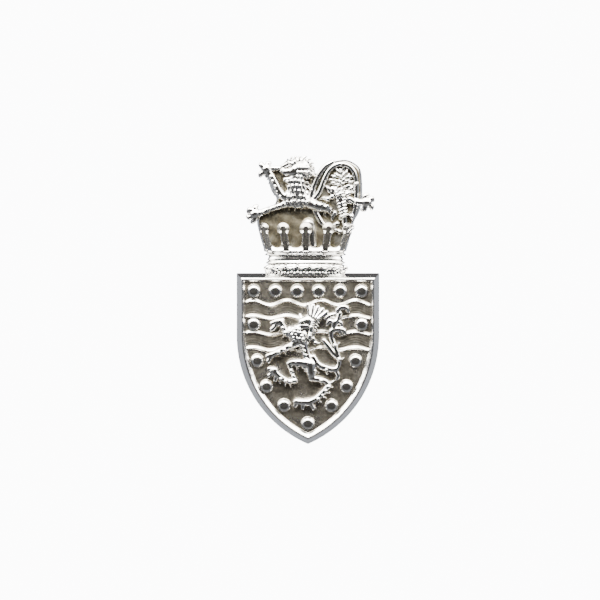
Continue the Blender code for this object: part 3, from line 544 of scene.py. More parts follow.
def make_lion(silver):
    clay = Clay((LION_LOW[0], FIELD, LION_LOW[2]), LION_HIGH, LION_CELL)
    ground = FIELD + 0.45
    for limb in LION_LIMBS:
        clay.stroke(limb, 0.16, ground)
    lion_details(clay, ground)
    part, x, d, z = clay.everywhere()
    clay.cut(part, d - LION_BACK)

    def recess(px, pd, pz):
        return 0.5 * ramp(-pd, -FIELD - 0.75, -FIELD - 0.35)

    finish_piece(clay.skin("lion_relief", recess), silver, "badge", "lion_charge")


def lock(clay, x, z, angle, length, radius, ground, curl=0.0, lift=0.0):
    """A lock of hair: a tapered stroke along the surface, that leaves (x, z) at an angle and may
    curl."""
    points = []
    for i in range(4):
        turn = math.radians(angle) + curl * i / 3
        forward = clay.front(x, z, ground + 0.15) - ground + lift - 0.25 * radius
        points.append((x, z, forward, radius * (1 - 0.22 * i)))
        x += length / 3 * math.cos(turn)
        z += length / 3 * math.sin(turn)
    clay.stroke(points, 0.05, ground)


def lion_details(clay, ground):
    """Coronet, mane, tufts on the limbs, ribs, brow and mouth."""
    clay.stroke(((-0.1, 0.0, 0.5, 0.24), (0.9, -0.25, 0.6, 0.28), (1.8, -0.8, 0.45, 0.24)), 0.05, ground)
    for i in range(5):
        angle = math.radians(96 - 15 * i)
        base = (0.2 + 0.36 * i, -0.02 - 0.12 * i)
        tip = (base[0] + 1.85 * math.cos(angle), base[1] + 1.85 * math.sin(angle))
        clay.stroke(((*base, 0.8, 0.24), (*tip, 0.2, 0.4)), 0.02, ground)
    for i in range(9):
        lock(clay, 0.75 - 0.06 * i, -0.9 - 0.36 * i, -5 - 12 * i, 1.2, 0.4, ground, -0.6)
    for row in range(4):
        for i in range(4):
            x, z = -3.1 + 0.55 * i + 0.2 * row, -2.1 - 0.55 * row - 0.08 * i
            lock(clay, x, z, 245 + 12 * i, 0.8, 0.33, ground, 0.7, 0.02)
    for x, z, angle in (
        (-3.9, -2.9, 235), (-4.3, -2.1, 215), (-3.0, -5.2, 270), (-4.0, -5.8, 275), (-5.0, -6.2, 280),
        (-2.9, -9.3, 330), (-2.5, -10.2, 330), (-3.0, -11.2, 265), (-3.8, -11.1, 255), (-4.6, -10.7, 245),
        (3.4, -12.0, 340), (3.0, -12.7, 325), (3.7, -11.4, 20), (2.4, -13.5, 315), (1.7, -14.1, 300),
        (4.6, -5.0, 20), (5.3, -7.4, 10), (3.1, -9.2, 280), (2.2, -11.0, 270), (1.2, -9.4, 330),
        (-1.8, -8.5, 270), (-0.6, -8.8, 280), (5.4, -2.8, 300), (0.9, -3.9, 310), (1.2, -4.6, 350),
    ):
        lock(clay, x, z, angle, 0.8, 0.33, ground, 0.5)
    for i in range(4):
        x, z = -0.9 + 0.25 * i, -4.8 - 0.7 * i
        depth = clay.front(x, z, ground) - ground
        rib = ((x - 0.6, z + 0.1, depth - 0.05, 0.1), (x + 0.2, z - 0.3, depth, 0.1))
        clay.stroke(rib, 0.05, ground, cut=True)
    brow = []
    for x, z, radius in ((-1.35, -1.4, 0.1), (-0.8, -1.32, 0.18), (-0.5, -1.36, 0.12), (0.5, -1.6, 0.08)):
        brow.append((x, z, clay.front(x, z, ground) - ground, radius))
    clay.stroke(brow, 0.03, ground, cut=True)
    mouth = ((-1.9, -2.5, 0.7, 0.16), (-0.9, -2.38, 0.95, 0.17), (-0.1, -2.25, 1.0, 0.1))
    clay.stroke(mouth, 0.03, ground, cut=True)


# ---------------------------------------------------------------- the crown

CROWN_X = (CROWN_LOW[0] + CROWN_HIGH[0]) / 2
CROWN_FLATTEN = 0.385  # depth of the half-round crown over its half width
BAND_TOP = 10.95
BOW_RADIUS, BOW_WIDENING = 7.5, 0.32
TINE_TOP = CROWN_HIGH[2]
TINES = ((-6.2, 1.0), (-3.25, 1.0), (0.05, 1.05), (3.35, 1.0), (6.3, 1.0))  # place, half width
TINE_FOOT_SPREAD, TINE_HEAD_SPREAD = 0.93, 1.17
RAIL_HALF_WIDTH, RAIL_HALF_HEIGHT = 6.4, 0.6
KNOB_ROWS = (21, 26)  # how many knobs are on the roll's front, and along its foot
BAND_PROFILE = (
    # height and radius up the band: foot, knobbly roll, hollow, fillet, throat, top fillet
    (6.1, 7.1), (6.75, 6.95), (7.15, 6.71), (7.2, 6.6), (7.4, 6.8), (7.7, 6.95), (8.0, 6.95), (8.5, 6.75),
    (8.8, 6.25), (8.9, 6.75), (9.0, 6.78), (9.3, 6.4), (9.4, 6.25), (9.5, 6.5), (10.2, 6.18),
    (10.28, 6.95), (10.36, 6.98), (10.75, 6.5), (10.95, 6.3),
)


def crown_bow(x, z):
    """How far forward the tines' faces stand: round from side to side, and wider as they fan."""
    radius = BOW_RADIUS + BOW_WIDENING * np.clip(z - BAND_TOP, 0, None)
    return PLATE_HIGH[1] + CROWN_FLATTEN * np.sqrt(np.clip(radius**2 - (x - CROWN_X) ** 2, 0.5, None))


def crown_tines(x, d, z):
    """Distance to the tines: tapered blades with flared round heads, that stand on a rail along
    the band's top and follow the crown's bow. Each has a long slot in its face."""
    tines = np.full((x.shape[0], z.shape[2]), EMPTY)
    slots = tines.copy()
    for tine_x, half in TINES:
        foot = (tine_x * TINE_FOOT_SPREAD, BAND_TOP - 1.2)
        head = (tine_x * TINE_HEAD_SPREAD, TINE_TOP - half)
        along = np.array([head[0] - foot[0], head[1] - foot[1]])
        px, pz = x[:, 0] - CROWN_X - foot[0], z[:, 0] - foot[1]
        t = np.clip((px * along[0] + pz * along[1]) / (along @ along), 0, 1)
        gap = np.sqrt((px - t * along[0]) ** 2 + (pz - t * along[1]) ** 2)
        blade = gap - half * (0.62 + 0.1 * (1 - t))
        flare = np.sqrt((px - along[0]) ** 2 + (pz - along[1]) ** 2) - half * 1.1
        tines = smooth_min(tines, smooth_min(blade, flare, 0.3), 0.9)
        slots = np.minimum(slots, gap - half * (0.36 + 0.14 * (1 - t)))
    across, above = np.abs(x[:, 0] - CROWN_X), np.abs(z[:, 0] - BAND_TOP)
    rail = np.maximum(across - RAIL_HALF_WIDTH, above - RAIL_HALF_HEIGHT)
    tines = smooth_min(tines, rail, 0.9)[:, None, :]
    ahead = d - crown_bow(x, z)
    heads, feet = ramp(z, TINE_TOP - 1.9, TINE_TOP - 1.2), ramp(z, BAND_TOP + 1.6, BAND_TOP + 0.8)
    bevelled = (tines + ahead + 0.2 + 0.7 * heads + 0.42 * feet) * math.sqrt(0.5)
    blades = smooth_max(smooth_max(tines, np.maximum(ahead, -ahead - 1.15), 0.12), bevelled, 0.1)
    blades = np.maximum(blades, np.maximum(PLATE_HIGH[1] + 1.0 - d, BAND_TOP - 0.3 - z))
    slots = smooth_max(smooth_max(slots[:, None, :], BAND_TOP - 0.05 - z, 0.1), -ahead - 0.42, 0.1)
    return smooth_max(blades, -slots, 0.06)


def make_crown(silver):
    low = (CROWN_LOW[0] - 0.5, PLATE_HIGH[1], CROWN_LOW[2])
    clay = Clay(low, (CROWN_HIGH[0] + 0.5, CROWN_HIGH[1] + 0.4, TINE_TOP), CREST_CELL)
    part, x, d, z = clay.everywhere()
    radius = np.interp(z, *zip(*BAND_PROFILE))
    band = np.sqrt((x - CROWN_X) ** 2 + ((d - PLATE_HIGH[1]) / CROWN_FLATTEN) ** 2) - radius
    level = np.maximum(z - BAND_TOP, CROWN_LOW[2] - z)
    clay.join(part, smooth_max(band * 0.55, level, 0.15))
    clay.join(part, crown_tines(x, d, z), 0.12)
    front, foot = KNOB_ROWS
    for i in range(front):
        x_at = CROWN_X - 6.8 + 13.6 * i / (front - 1)
        z_at = 8.1 + 0.16 * math.sin(4.1 * i)
        length, radius = 0.55 + 0.1 * math.sin(i), 0.33 + 0.05 * math.sin(2.6 * i)
        lock(clay, x_at, z_at, 20 + 150 * (i % 3), length, radius, 0.0, 1.0, 0.12)
    for i in range(foot):
        x_at = CROWN_X - 6.6 + 13.2 * i / (foot - 1)
        lock(clay, x_at, 7.25 + 0.08 * math.sin(3.3 * i), 200, 0.25, 0.24, 0.0, 0.0, 0.05)
    clay.cut(part, d - PLATE_HIGH[1] - 0.05)
    clay.cut(part, smooth_max(shield_distance(x, z, wall_lean(d) - 0.02), d - SHIELD_DEPTH - 3, 0))

    def recess(px, pd, pz):
        behind = ramp(crown_bow(px, pz) - pd, 0.1, 0.2)
        return 0.6 * behind * ramp(pz, BAND_TOP + 0.3, BAND_TOP + 0.8)

    finish_piece(clay.skin("crown_relief", recess), silver, "badge", "crown")


# ---------------------------------------------------------------- the crest

WEB_BACK, WEB_FRONT = PLATE_HIGH[1] + 0.05, 1.65
WEB_OUTLINE = (
    (-6.9, 11.0), (-7.4, 11.6), (-8.2, 14.4), (-8.5, 16.4), (-7.6, 17.6), (-5.7, 18.6), (-5.2, 20.0),
    (-6.0, 21.2), (-6.6, 23.2), (-6.6, 24.6), (-4.4, 25.0), (-3.7, 26.1), (-2.0, 26.6), (-0.4, 26.4),
    (0.8, 25.2), (1.2, 24.0), (2.0, 24.4), (3.2, 25.6), (4.6, 26.1), (6.6, 26.3), (8.3, 25.4), (8.95, 24.0),
    (9.05, 20.3), (8.6, 17.8), (7.7, 16.1), (7.0, 13.4), (6.5, 11.6), (6.0, 11.0), (3.0, 10.9), (-3.0, 10.9),
)


def web_edge(steps=4):
    """The web's outline with its corners rounded off."""
    points = [(x, z, 0.0, 1.0) for x, z in WEB_OUTLINE[-2:] + WEB_OUTLINE + WEB_OUTLINE[:3]]
    path = smooth_path(np.array(points), steps)
    return [(x, z) for x, z, _, _ in path[2 * steps : (len(WEB_OUTLINE) + 2) * steps]]


def polygon_distance(x, z, outline):
    """Signed distance from points to a closed outline of straight edges."""
    nearest = np.full(np.broadcast(x, z).shape, np.inf)
    inside = np.zeros(nearest.shape, bool)
    for (ax, az), (bx, bz) in zip(outline, outline[1:] + outline[:1]):
        ex, ez = bx - ax, bz - az
        px, pz = x - ax, z - az
        t = np.clip((px * ex + pz * ez) / (ex * ex + ez * ez), 0, 1)
        nearest = np.minimum(nearest, np.hypot(px - t * ex, pz - t * ez))
        crosses = (az > z) != (bz > z)
        inside ^= crosses & (x < ax + (z - az) * ex / (ez if ez else 1e-9))
    return np.where(inside, -nearest, nearest)


CREST_LIMBS = (
    # neck and chest
    ((-1.9, 23.4, 0.1, 1.5), (-1.9, 22.0, 0.0, 1.7), (-1.5, 20.6, 0.0, 1.5), (-0.4, 19.4, 0.1, 1.2)),
    # skull, brow, muzzle and jaw
    ((-2.3, 24.6, 0.4, 1.25), (-1.0, 24.8, 0.3, 1.3), (0.0, 24.2, 0.2, 1.0)),
    ((-4.3, 25.3, 0.6, 0.38), (-3.3, 25.75, 0.8, 0.45), (-2.3, 25.8, 0.9, 0.42)),
    ((-2.9, 24.4, 0.9, 0.72), (-3.9, 24.35, 0.85, 0.62)),
    ((-4.2, 24.7, 0.9, 0.36), (-4.45, 24.45, 0.8, 0.34)),
    ((-2.6, 23.15, 0.8, 0.6), (-3.75, 23.05, 0.8, 0.5)),
    # bar from the muzzle to the raised paw
    ((-4.6, 25.0, 0.4, 0.45), (-6.2, 25.0, 0.4, 0.42), (-7.6, 25.0, 0.4, 0.4)),
    # raised arm and paw
    ((-2.8, 20.2, 0.5, 0.9), (-4.3, 20.4, 0.5, 0.74), (-5.2, 21.7, 0.5, 0.66), (-6.0, 23.3, 0.45, 0.62),
     (-6.9, 24.6, 0.4, 0.66)),
    ((-7.1, 24.9, 0.5, 0.5), (-7.9, 25.5, 0.5, 0.46), (-7.9, 25.8, 0.4, 0.36)),
    ((-6.9, 25.1, 0.5, 0.48), (-6.8, 25.8, 0.45, 0.42), (-6.5, 25.9, 0.3, 0.34)),
    ((-7.1, 24.5, 0.5, 0.5), (-7.9, 24.1, 0.5, 0.48), (-8.1, 23.8, 0.35, 0.38)),
    ((-6.6, 24.4, 0.5, 0.42), (-7.0, 23.7, 0.45, 0.36)),
    # pads of both paws, and the middle of the flower
    ((-7.0, 24.9, 0.5, 0.75), (-7.2, 24.8, 0.5, 0.7)),
    ((-9.0, 17.3, 0.5, 0.78), (-9.2, 17.2, 0.5, 0.72)),
    ((9.9, 19.2, 0.5, 0.82), (10.1, 19.2, 0.5, 0.76)),
    # lower arm and paw
    ((-1.4, 19.0, 0.5, 0.9), (-3.6, 18.9, 0.5, 0.62), (-6.0, 18.2, 0.45, 0.54), (-8.4, 17.3, 0.4, 0.58)),
    ((-8.6, 17.5, 0.5, 0.5), (-9.0, 18.3, 0.5, 0.44), (-8.7, 18.6, 0.35, 0.34)),
    ((-8.9, 17.4, 0.5, 0.5), (-9.8, 18.0, 0.5, 0.46), (-10.1, 17.7, 0.35, 0.38)),
    ((-9.0, 17.0, 0.5, 0.5), (-9.9, 16.7, 0.5, 0.46), (-10.2, 16.9, 0.35, 0.36)),
    ((-8.8, 16.9, 0.5, 0.5), (-9.2, 16.1, 0.5, 0.42), (-9.5, 15.9, 0.35, 0.34)),
    # back, hip and haunch
    ((-1.0, 19.5, 0.4, 1.0), (0.6, 18.9, 0.4, 0.95), (2.4, 18.4, 0.4, 0.85), (3.6, 18.0, 0.2, 0.6)),
    ((0.1, 15.4, -1.2, 1.7), (0.3, 14.0, -1.2, 1.75), (0.5, 12.0, -1.2, 1.7)),
    ((1.0, 18.2, 0.2, 0.5), (1.6, 17.0, 0.25, 0.5), (2.2, 15.9, 0.25, 0.48), (2.8, 15.4, 0.2, 0.42)),
    # twin ridges rising to the arch
    ((0.5, 20.4, 0.35, 0.46), (1.1, 22.2, 0.4, 0.46), (1.9, 24.0, 0.4, 0.46), (3.0, 25.4, 0.35, 0.44),
     (4.2, 26.1, 0.3, 0.36)),
    ((0.6, 19.4, 0.35, 0.46), (1.9, 21.0, 0.4, 0.46), (2.8, 23.2, 0.4, 0.46), (3.7, 24.8, 0.35, 0.42),
     (5.2, 25.7, 0.35, 0.42), (6.9, 25.4, 0.35, 0.42), (7.9, 24.2, 0.35, 0.42), (8.2, 22.4, 0.35, 0.42),
     (8.2, 20.2, 0.35, 0.42), (8.0, 18.2, 0.35, 0.42), (7.6, 16.8, 0.3, 0.4)),
    # trunk of the sprig inside the arch
    ((6.2, 14.2, 0.1, 0.45), (6.2, 16.6, 0.25, 0.5), (5.7, 18.8, 0.4, 0.6), (5.3, 21.0, 0.5, 0.75)),
    # flower at the end on the right
    ((6.3, 19.5, 0.4, 0.6), (7.8, 19.4, 0.5, 0.52), (9.2, 19.2, 0.5, 0.6), (10.0, 19.2, 0.5, 0.65)),
    ((9.7, 19.4, 0.5, 0.5), (9.7, 20.3, 0.5, 0.46), (10.1, 20.5, 0.35, 0.36)),
    ((10.1, 19.3, 0.5, 0.5), (10.8, 19.9, 0.5, 0.42), (11.0, 19.6, 0.35, 0.34)),
    ((10.1, 19.0, 0.5, 0.5), (10.8, 18.5, 0.5, 0.42), (10.8, 18.2, 0.35, 0.34)),
    ((9.7, 18.9, 0.5, 0.5), (9.6, 18.1, 0.5, 0.44), (9.2, 18.0, 0.35, 0.34)),
)


def make_crest(silver):
    low = (CREST_LOW[0], WEB_BACK, BAND_TOP - 0.2)
    clay = Clay(low, (CREST_HIGH[0], CREST_HIGH[1] + 0.5, CREST_HIGH[2] + 0.1), CREST_CELL)
    part, x, d, z = clay.everywhere()
    outline = polygon_distance(x[:, 0], z[:, 0], web_edge())[:, None, :]
    grain = 0.05 * np.sin(2.1 * x + 1.1 * z) * np.sin(1.7 * z - 0.9 * x)
    lean = 0.55 * (d - WEB_BACK) - 0.25  # the web's edge slopes in towards the front
    clay.join(part, smooth_max((outline + lean) * 0.88, d - WEB_FRONT - grain, 0.15))
    for limb in CREST_LIMBS:
        clay.stroke(limb, 0.14, WEB_FRONT)
    crest_details(clay, WEB_FRONT)
    clay.cut(part, d - WEB_BACK)

    def recess(px, pd, pz):
        within = ramp(-polygon_distance(px, pz, web_edge()), 0.05, 0.3)
        return within * ramp(-pd, -WEB_FRONT - 0.5, -WEB_FRONT - 0.05)

    finish_piece(clay.skin("crest_relief", recess), silver, "badge", "crest_beast")


def crest_details(clay, ground):
    """Mane, tufts, flower head and leaves, rope twist, mouth, eye and the gap below the belly."""
    for row in range(5):
        for i in range(6):
            x = -3.5 + 0.66 * i + 0.22 * (row % 2)
            z = 22.9 - 0.85 * row - 0.08 * abs(i - 2)
            lock(clay, x, z, 250 + 8 * i + 20 * math.sin(2.7 * i + row), 0.95, 0.3, ground, 0.7, 0.06)
    for i in range(10):
        angle = 140 - 19 * i
        out = math.radians(angle)
        x, z = -1.5 + 1.5 * math.cos(out), 24.9 + 1.35 * math.sin(out)
        lock(clay, x, z, angle + 25, 1.25, 0.42, ground, -1.6)
    for row in range(3):
        for i in range(4):
            x, z = -1.7 + 0.6 * i, 25.1 - 0.75 * row
            lock(clay, x, z, 20 - 25 * row - 12 * i, 0.8, 0.26, ground, 0.8, 0.05)
    for x, z, angle in (
        (-6.0, 22.8, 200), (-6.3, 23.6, 210), (-5.6, 21.9, 205), (-5.2, 21.0, 215), (-4.7, 20.2, 225),
        (-4.3, 19.0, 250), (-5.4, 18.6, 255), (-6.6, 18.1, 255), (-3.2, 18.6, 260), (-7.7, 17.6, 260),
        (-2.2, 18.4, 265), (3.3, 18.6, 330), (3.6, 17.6, 300), (2.8, 17.4, 280), (-1.0, 18.4, 240),
        (0.2, 19.4, 200), (1.4, 19.0, 220), (2.4, 18.8, 250), (-2.4, 19.4, 190), (-3.6, 19.3, 180),
    ):
        lock(clay, x, z, angle, 0.85, 0.28, ground, 0.5)
    golden = math.pi * (3 - math.sqrt(5))  # the turn from one leaf of the flower head to the next
    for i in range(34):
        spread = 0.40 * math.sqrt(i)
        x, z = 5.7 + 0.8 * spread * math.cos(golden * i), 22.4 + 1.1 * spread * math.sin(golden * i)
        lock(clay, x, z, math.degrees(golden * i), 0.75, 0.32, ground, 1.2, 0.1)
    for side, x, z, angle in (
        (1, 4.6, 21.2, 150), (-1, 6.6, 20.6, 30), (1, 4.2, 20.2, 200), (-1, 7.0, 19.8, 340),
        (1, 4.6, 17.4, 230), (-1, 5.6, 16.6, 40), (1, 5.0, 15.6, 200), (-1, 6.4, 15.2, 20),
        (1, 4.6, 14.6, 170), (-1, 7.2, 17.2, 300), (1, 3.7, 21.2, 120), (1, 3.4, 19.8, 160),
        (-1, 7.5, 21.6, 60), (1, 5.4, 14.2, 150), (-1, 6.8, 14.0, 60),
    ):
        lock(clay, x, z, angle, 1.4, 0.45, ground, 0.9 * side, 0.1)
    for i in range(8):
        z, x = 17.0 + 0.52 * i, 6.1 - 0.1 * i
        depth = clay.front(x, z, ground) - ground
        strand = ((x - 0.6, z - 0.2, depth - 0.1, 0.2), (x + 0.6, z + 0.2, depth - 0.1, 0.2))
        clay.stroke(strand, 0.05, ground)
    mouth = ((-4.8, 23.7, 0.9, 0.22), (-3.2, 23.7, 1.3, 0.2), (-2.6, 23.8, 1.6, 0.16))
    clay.stroke(mouth, 0.05, ground, cut=True)
    depth = clay.front(-3.0, 25.2, ground) - ground
    eye = ((-3.3, 25.2, depth, 0.22), (-2.8, 25.2, depth, 0.2))
    clay.stroke(eye, 0.04, ground, cut=True)
    gap = ((-0.9, 17.9, 0.5, 0.5), (0.2, 17.7, 0.5, 0.5))
    clay.stroke(gap, 0.1, ground, cut=True)


# ---------------------------------------------------------------- the back: plate, posts, nuts

BORE = 1.55  # the radius of the holes that the posts pass through


def plate_outline_mesh(name, outlines, back, front, edge):
    """A flat plate with rounded edges from outlines in (x, z): the edge, then the holes."""
    curve = bpy.data.curves.new(name, "CURVE")
    curve.dimensions = "2D"
    curve.fill_mode = "BOTH"
    curve.extrude = ((front - back) / 2 - edge) * MM
    curve.bevel_depth = edge * MM
    curve.bevel_resolution = 2
    curve.offset = -edge * MM
    for outline in outlines:
        spline = curve.splines.new("POLY")
        spline.points.add(len(outline) - 1)
        for point, (x, z) in zip(spline.points, outline):
            point.co = (x * MM, z * MM, 0.0, 1.0)
        spline.use_cyclic_u = True
    temporary = bpy.data.objects.new(name, curve)
    bpy.context.scene.collection.objects.link(temporary)
    bpy.context.view_layer.update()
    graph = bpy.context.evaluated_depsgraph_get()
    mesh = bpy.data.meshes.new_from_object(temporary.evaluated_get(graph))
    bpy.data.objects.remove(temporary)
    bpy.data.curves.remove(curve)
    for vertex in mesh.vertices:
        x, z, up = vertex.co
        vertex.co = (x, -(up + (front + back) / 2 * MM), z)
    mesh.name = name
    tidy_mesh(mesh, 30)
    return mesh


def shield_outline(inset, points=28):
    """The shield's edge as points, from the top left round to the left shoulder."""
    reach = ARC_RADIUS - inset
    last = math.acos(-ARC_CENTRE / reach)
    turns = [last * i / points for i in range(points + 1)]
    right = [(ARC_CENTRE + reach * math.cos(a), SHIELD_SHOULDER - reach * math.sin(a)) for a in turns]
    left = [(-x, z) for x, z in reversed(right[:-1])]
    edge = SHIELD_HALF_WIDTH - inset
    return [(-edge, SHIELD_TOP - inset), (edge, SHIELD_TOP - inset)] + right + left


def circle(centre, radius, count=48):
    x, z = centre
    turns = [2 * math.pi * i / count for i in range(count)]
    return [(x + radius * math.cos(a), z + radius * math.sin(a)) for a in turns]


def turned_piece(node):
    """A turned piece's box, and the height of its axis."""
    low, high = node_box(node)
    return low, high, (low[2] + high[2]) / 2


def make_plates(brass):
    heights = [turned_piece(f"post_{which}")[2] for which in ("upper", "lower")]
    inset = SHIELD_HALF_WIDTH - PLATE_HIGH[0]
    edge = shield_outline(inset)
    foot, top, corner = SHIELD_TOP - inset, PLATE_HIGH[2], TONGUE_CORNER
    tongue = [
        (TONGUE_LEFT, foot), (TONGUE_LEFT, top - corner), (TONGUE_LEFT + corner, top),
        (TONGUE_RIGHT - corner, top), (TONGUE_RIGHT, top - corner), (TONGUE_RIGHT, foot),
    ]
    outlines = [edge[:1] + tongue + edge[1:]] + [circle((0.0, z), BORE) for z in heights]
    mesh = plate_outline_mesh("badge_back", outlines, PLATE_LOW[1], PLATE_HIGH[1], 0.1)
    finish_piece(add_piece("badge_back", mesh), brass, "badge", "back_plate")
    low, high = node_box("clamp_plate")
    half, length = high[0], high[2]
    turns = [math.pi * i / 32 for i in range(33)]
    edge = [(half * math.cos(a), length - half + half * math.sin(a)) for a in turns]
    edge += [(-x, -z) for x, z in edge]
    outlines = [edge] + [circle((0.0, z), BORE + 0.15) for z in heights]
    mesh = plate_outline_mesh("clamp", outlines, low[1], high[1], 0.14)
    finish_piece(add_piece("clamp", mesh), brass, "clamp", "clamp_plate")


def make_post(which, brass):
    """A threaded post with a helical thread, a plain tip and its flat head inside the badge."""
    low, high, z = turned_piece(f"post_{which}")
    tip, seat = low[1], PLATE_HIGH[1] + 0.05
    crest, pitch, groove, head = 1.45, 0.5, 0.27, 2.0
    plain = crest - 1e-5  # just too small to be threaded
    steps = np.arange(tip + 0.001, -0.4, pitch / 10)

    def thread(turns, radius, depth):
        if radius <= plain:
            return np.zeros(len(turns))
        phase = (depth / pitch + turns / (2 * np.pi)) % 1.0
        shape = np.clip(np.abs(phase - 0.5) * 2.6 - 0.15, 0, 1)
        fade = min(1.0, max(0.0, (-0.6 - depth) / 0.8))
        taper = 0.3 * max(0.0, 1 - (depth - tip) / 0.35)
        return -groove * shape * fade * (1 - taper) - taper * 0.6

    profile = [(ON_AXIS, tip), (crest - 0.32, tip)]
    profile += [(crest, depth) for depth in steps]
    profile += [(plain, 0.0), (plain, seat), (head, seat), (head, high[1]), (ON_AXIS, high[1])]
    mesh = grid_mesh(f"stud_{which}", turned_rows(profile, (0.0, z), 64, thread))
    tidy_mesh(mesh, 50)
    finish_piece(add_piece(f"stud_{which}", mesh), brass, "badge", f"post_{which}")


def make_nut(which, body, brass):
    """A round nut: diamond knurling between two plain chamfered lands, and a countersunk bore."""
    low, high, z = turned_piece(f"nut_{which}")
    outer, back, front = high[0], low[1], high[1]
    land, chamfer, shoulder = 0.28, 0.25, outer - 0.1
    knurled = np.linspace(back + chamfer + land, front - chamfer - land, 26)
    teeth, slant = 40, 1.9

    def knurl(turns, radius, depth):
        if radius < outer:
            return np.zeros(len(turns))
        a, b = (
            np.abs((turns * teeth / (2 * np.pi) + way * depth * slant) % 1.0 - 0.5) * 2 for way in (1, -1)
        )
        return -0.17 * np.maximum(a, b) ** 1.3

    profile = [(BORE, back + chamfer), (BORE + chamfer, back), (shoulder - chamfer, back)]
    profile += [(shoulder, back + chamfer), (shoulder, back + chamfer + land)]
    profile += [(outer, depth) for depth in knurled]
    profile += [(shoulder, front - chamfer - land), (shoulder, front - chamfer)]
    profile += [(shoulder - chamfer, front), (BORE + chamfer, front), (BORE, front - chamfer)]
    mesh = grid_mesh(f"round_nut_{which}", turned_rows(profile, (0.0, z), 320, knurl), closed_rows=True)
    tidy_mesh(mesh, 50)
    finish_piece(add_piece(f"round_nut_{which}", mesh), brass, body, f"nut_{which}")


def make_washer(which, body, steel):
    """A flat washer with softly rounded edges."""
    low, high, z = turned_piece(f"washer_{which}")
    outer, edge = high[0], 0.1
    corner = ((BORE, edge), (BORE + edge, 0.0), (outer - 2.5 * edge, 0.0), (outer - edge, 0.3 * edge),
              (outer, edge))
    profile = [(r, low[1] + up) for r, up in corner] + [(r, high[1] - up) for r, up in reversed(corner)]
    mesh = grid_mesh(f"ring_{which}", turned_rows(profile, (0.0, z), 96), closed_rows=True)
    tidy_mesh(mesh, 30)
    finish_piece(add_piece(f"ring_{which}", mesh), steel, body, f"washer_{which}")


# ---------------------------------------------------------------- materials

class Nodes:
    """Short names for building a material's nodes."""

    def __init__(self, tree):
        self.tree = tree

    def add(self, kind, **settings):
        node = self.tree.nodes.new(kind)
        for key, value in settings.items():
            setattr(node, key, value)
        return node

    def link(self, output, socket):
        self.tree.links.new(output, socket)

    def noise(self, vector, scale, detail=4.0, rough=0.55, distortion=0.0):
        node = self.add("ShaderNodeTexNoise")
        self.link(vector, node.inputs["Vector"])
        node.inputs["Scale"].default_value = scale
        node.inputs["Detail"].default_value = detail
        node.inputs["Roughness"].default_value = rough
        node.inputs["Distortion"].default_value = distortion
        return node.outputs["Fac"]

    def ramp(self, value, low, high, to_low=0.0, to_high=1.0):
        node = self.add("ShaderNodeMapRange", interpolation_type="SMOOTHSTEP")
        self.link(value, node.inputs["Value"])
        for name, number in (("From Min", low), ("From Max", high), ("To Min", to_low), ("To Max", to_high)):
            node.inputs[name].default_value = number
        return node.outputs["Result"]

    def math(self, operation, a, b):
        node = self.add("ShaderNodeMath", operation=operation)
        for socket, value in zip(node.inputs, (a, b)):
            if isinstance(value, (int, float)):
                socket.default_value = value
            else:
                self.link(value, socket)
        return node.outputs[0]

    def mix(self, factor, a, b):
        node = self.add("ShaderNodeMix", data_type="RGBA")
        self.link(factor, node.inputs["Factor"])
        for name, value in (("A", a), ("B", b)):
            socket = [s for s in node.inputs if s.name == name and s.type == "RGBA"][0]
            if isinstance(value, tuple):
                socket.default_value = (*value, 1.0)
            else:
                self.link(value, socket)
        return [s for s in node.outputs if s.type == "RGBA"][0]

    def bump(self, height, distance, strength=1.0, normal=None):
        node = self.add("ShaderNodeBump")
        self.link(height, node.inputs["Height"])
        node.inputs["Distance"].default_value = distance
        node.inputs["Strength"].default_value = strength
        if normal is not None:
            self.link(normal, node.inputs["Normal"])
        return node.outputs["Normal"]


def new_metal(name):
    material = bpy.data.materials.new(name)
    material.use_nodes = True
    nodes = Nodes(material.node_tree)
    shader = material.node_tree.nodes["Principled BSDF"]
    shader.inputs["Metallic"].default_value = 1.0
    place = nodes.add("ShaderNodeTexCoord").outputs["Object"]
    return material, nodes, shader, place


def silver_material(name, stain, deep_stain, stain_rough):
    """Bright plate, worn clean on the high places, with tarnish in the recesses, and painted shade with
    grime, near black, in the enclosed hollows.
    """
    material, nodes, shader, place = new_metal(name)
    recess = nodes.add("ShaderNodeAttribute", attribute_name="recess").outputs["Fac"]
    blotches = nodes.noise(place, 420.0, 5.0, 0.62, 0.6)
    specks = nodes.noise(place, 2300.0, 3.0, 0.6)
    patchy = nodes.ramp(blotches, 0.26, 0.52, 0.5, 1.0)
    tarnish = nodes.math("MULTIPLY", recess, patchy)
    colour = nodes.mix(nodes.ramp(specks, 0.35, 0.7), (0.95, 0.94, 0.92), (0.84, 0.83, 0.81))
    brown = nodes.mix(nodes.ramp(blotches, 0.42, 0.66), stain, deep_stain)
    # painted shade with grime: near black where a place is enclosed, a little patchy
    hollow_shade_and_grime = nodes.add("ShaderNodeAttribute", attribute_name="hollow_shade_and_grime").outputs["Fac"]
    shade_and_grime_mask = nodes.math("MULTIPLY", hollow_shade_and_grime, nodes.ramp(blotches, 0.3, 0.6, 0.95, 0.7))
    colour = nodes.mix(shade_and_grime_mask, nodes.mix(tarnish, colour, brown), (0.10, 0.085, 0.07))
    nodes.link(colour, shader.inputs["Base Color"])
    dullness = nodes.math("MULTIPLY", tarnish, stain_rough)
    rough = nodes.math("ADD", nodes.ramp(specks, 0.3, 0.8, 0.12, 0.2), dullness)
    nodes.link(rough, shader.inputs["Roughness"])
    dents = nodes.bump(nodes.noise(place, 900.0, 3.0, 0.5), 0.00004)
    nodes.link(nodes.bump(specks, 0.00001, 1.0, dents), shader.inputs["Normal"])
    return material


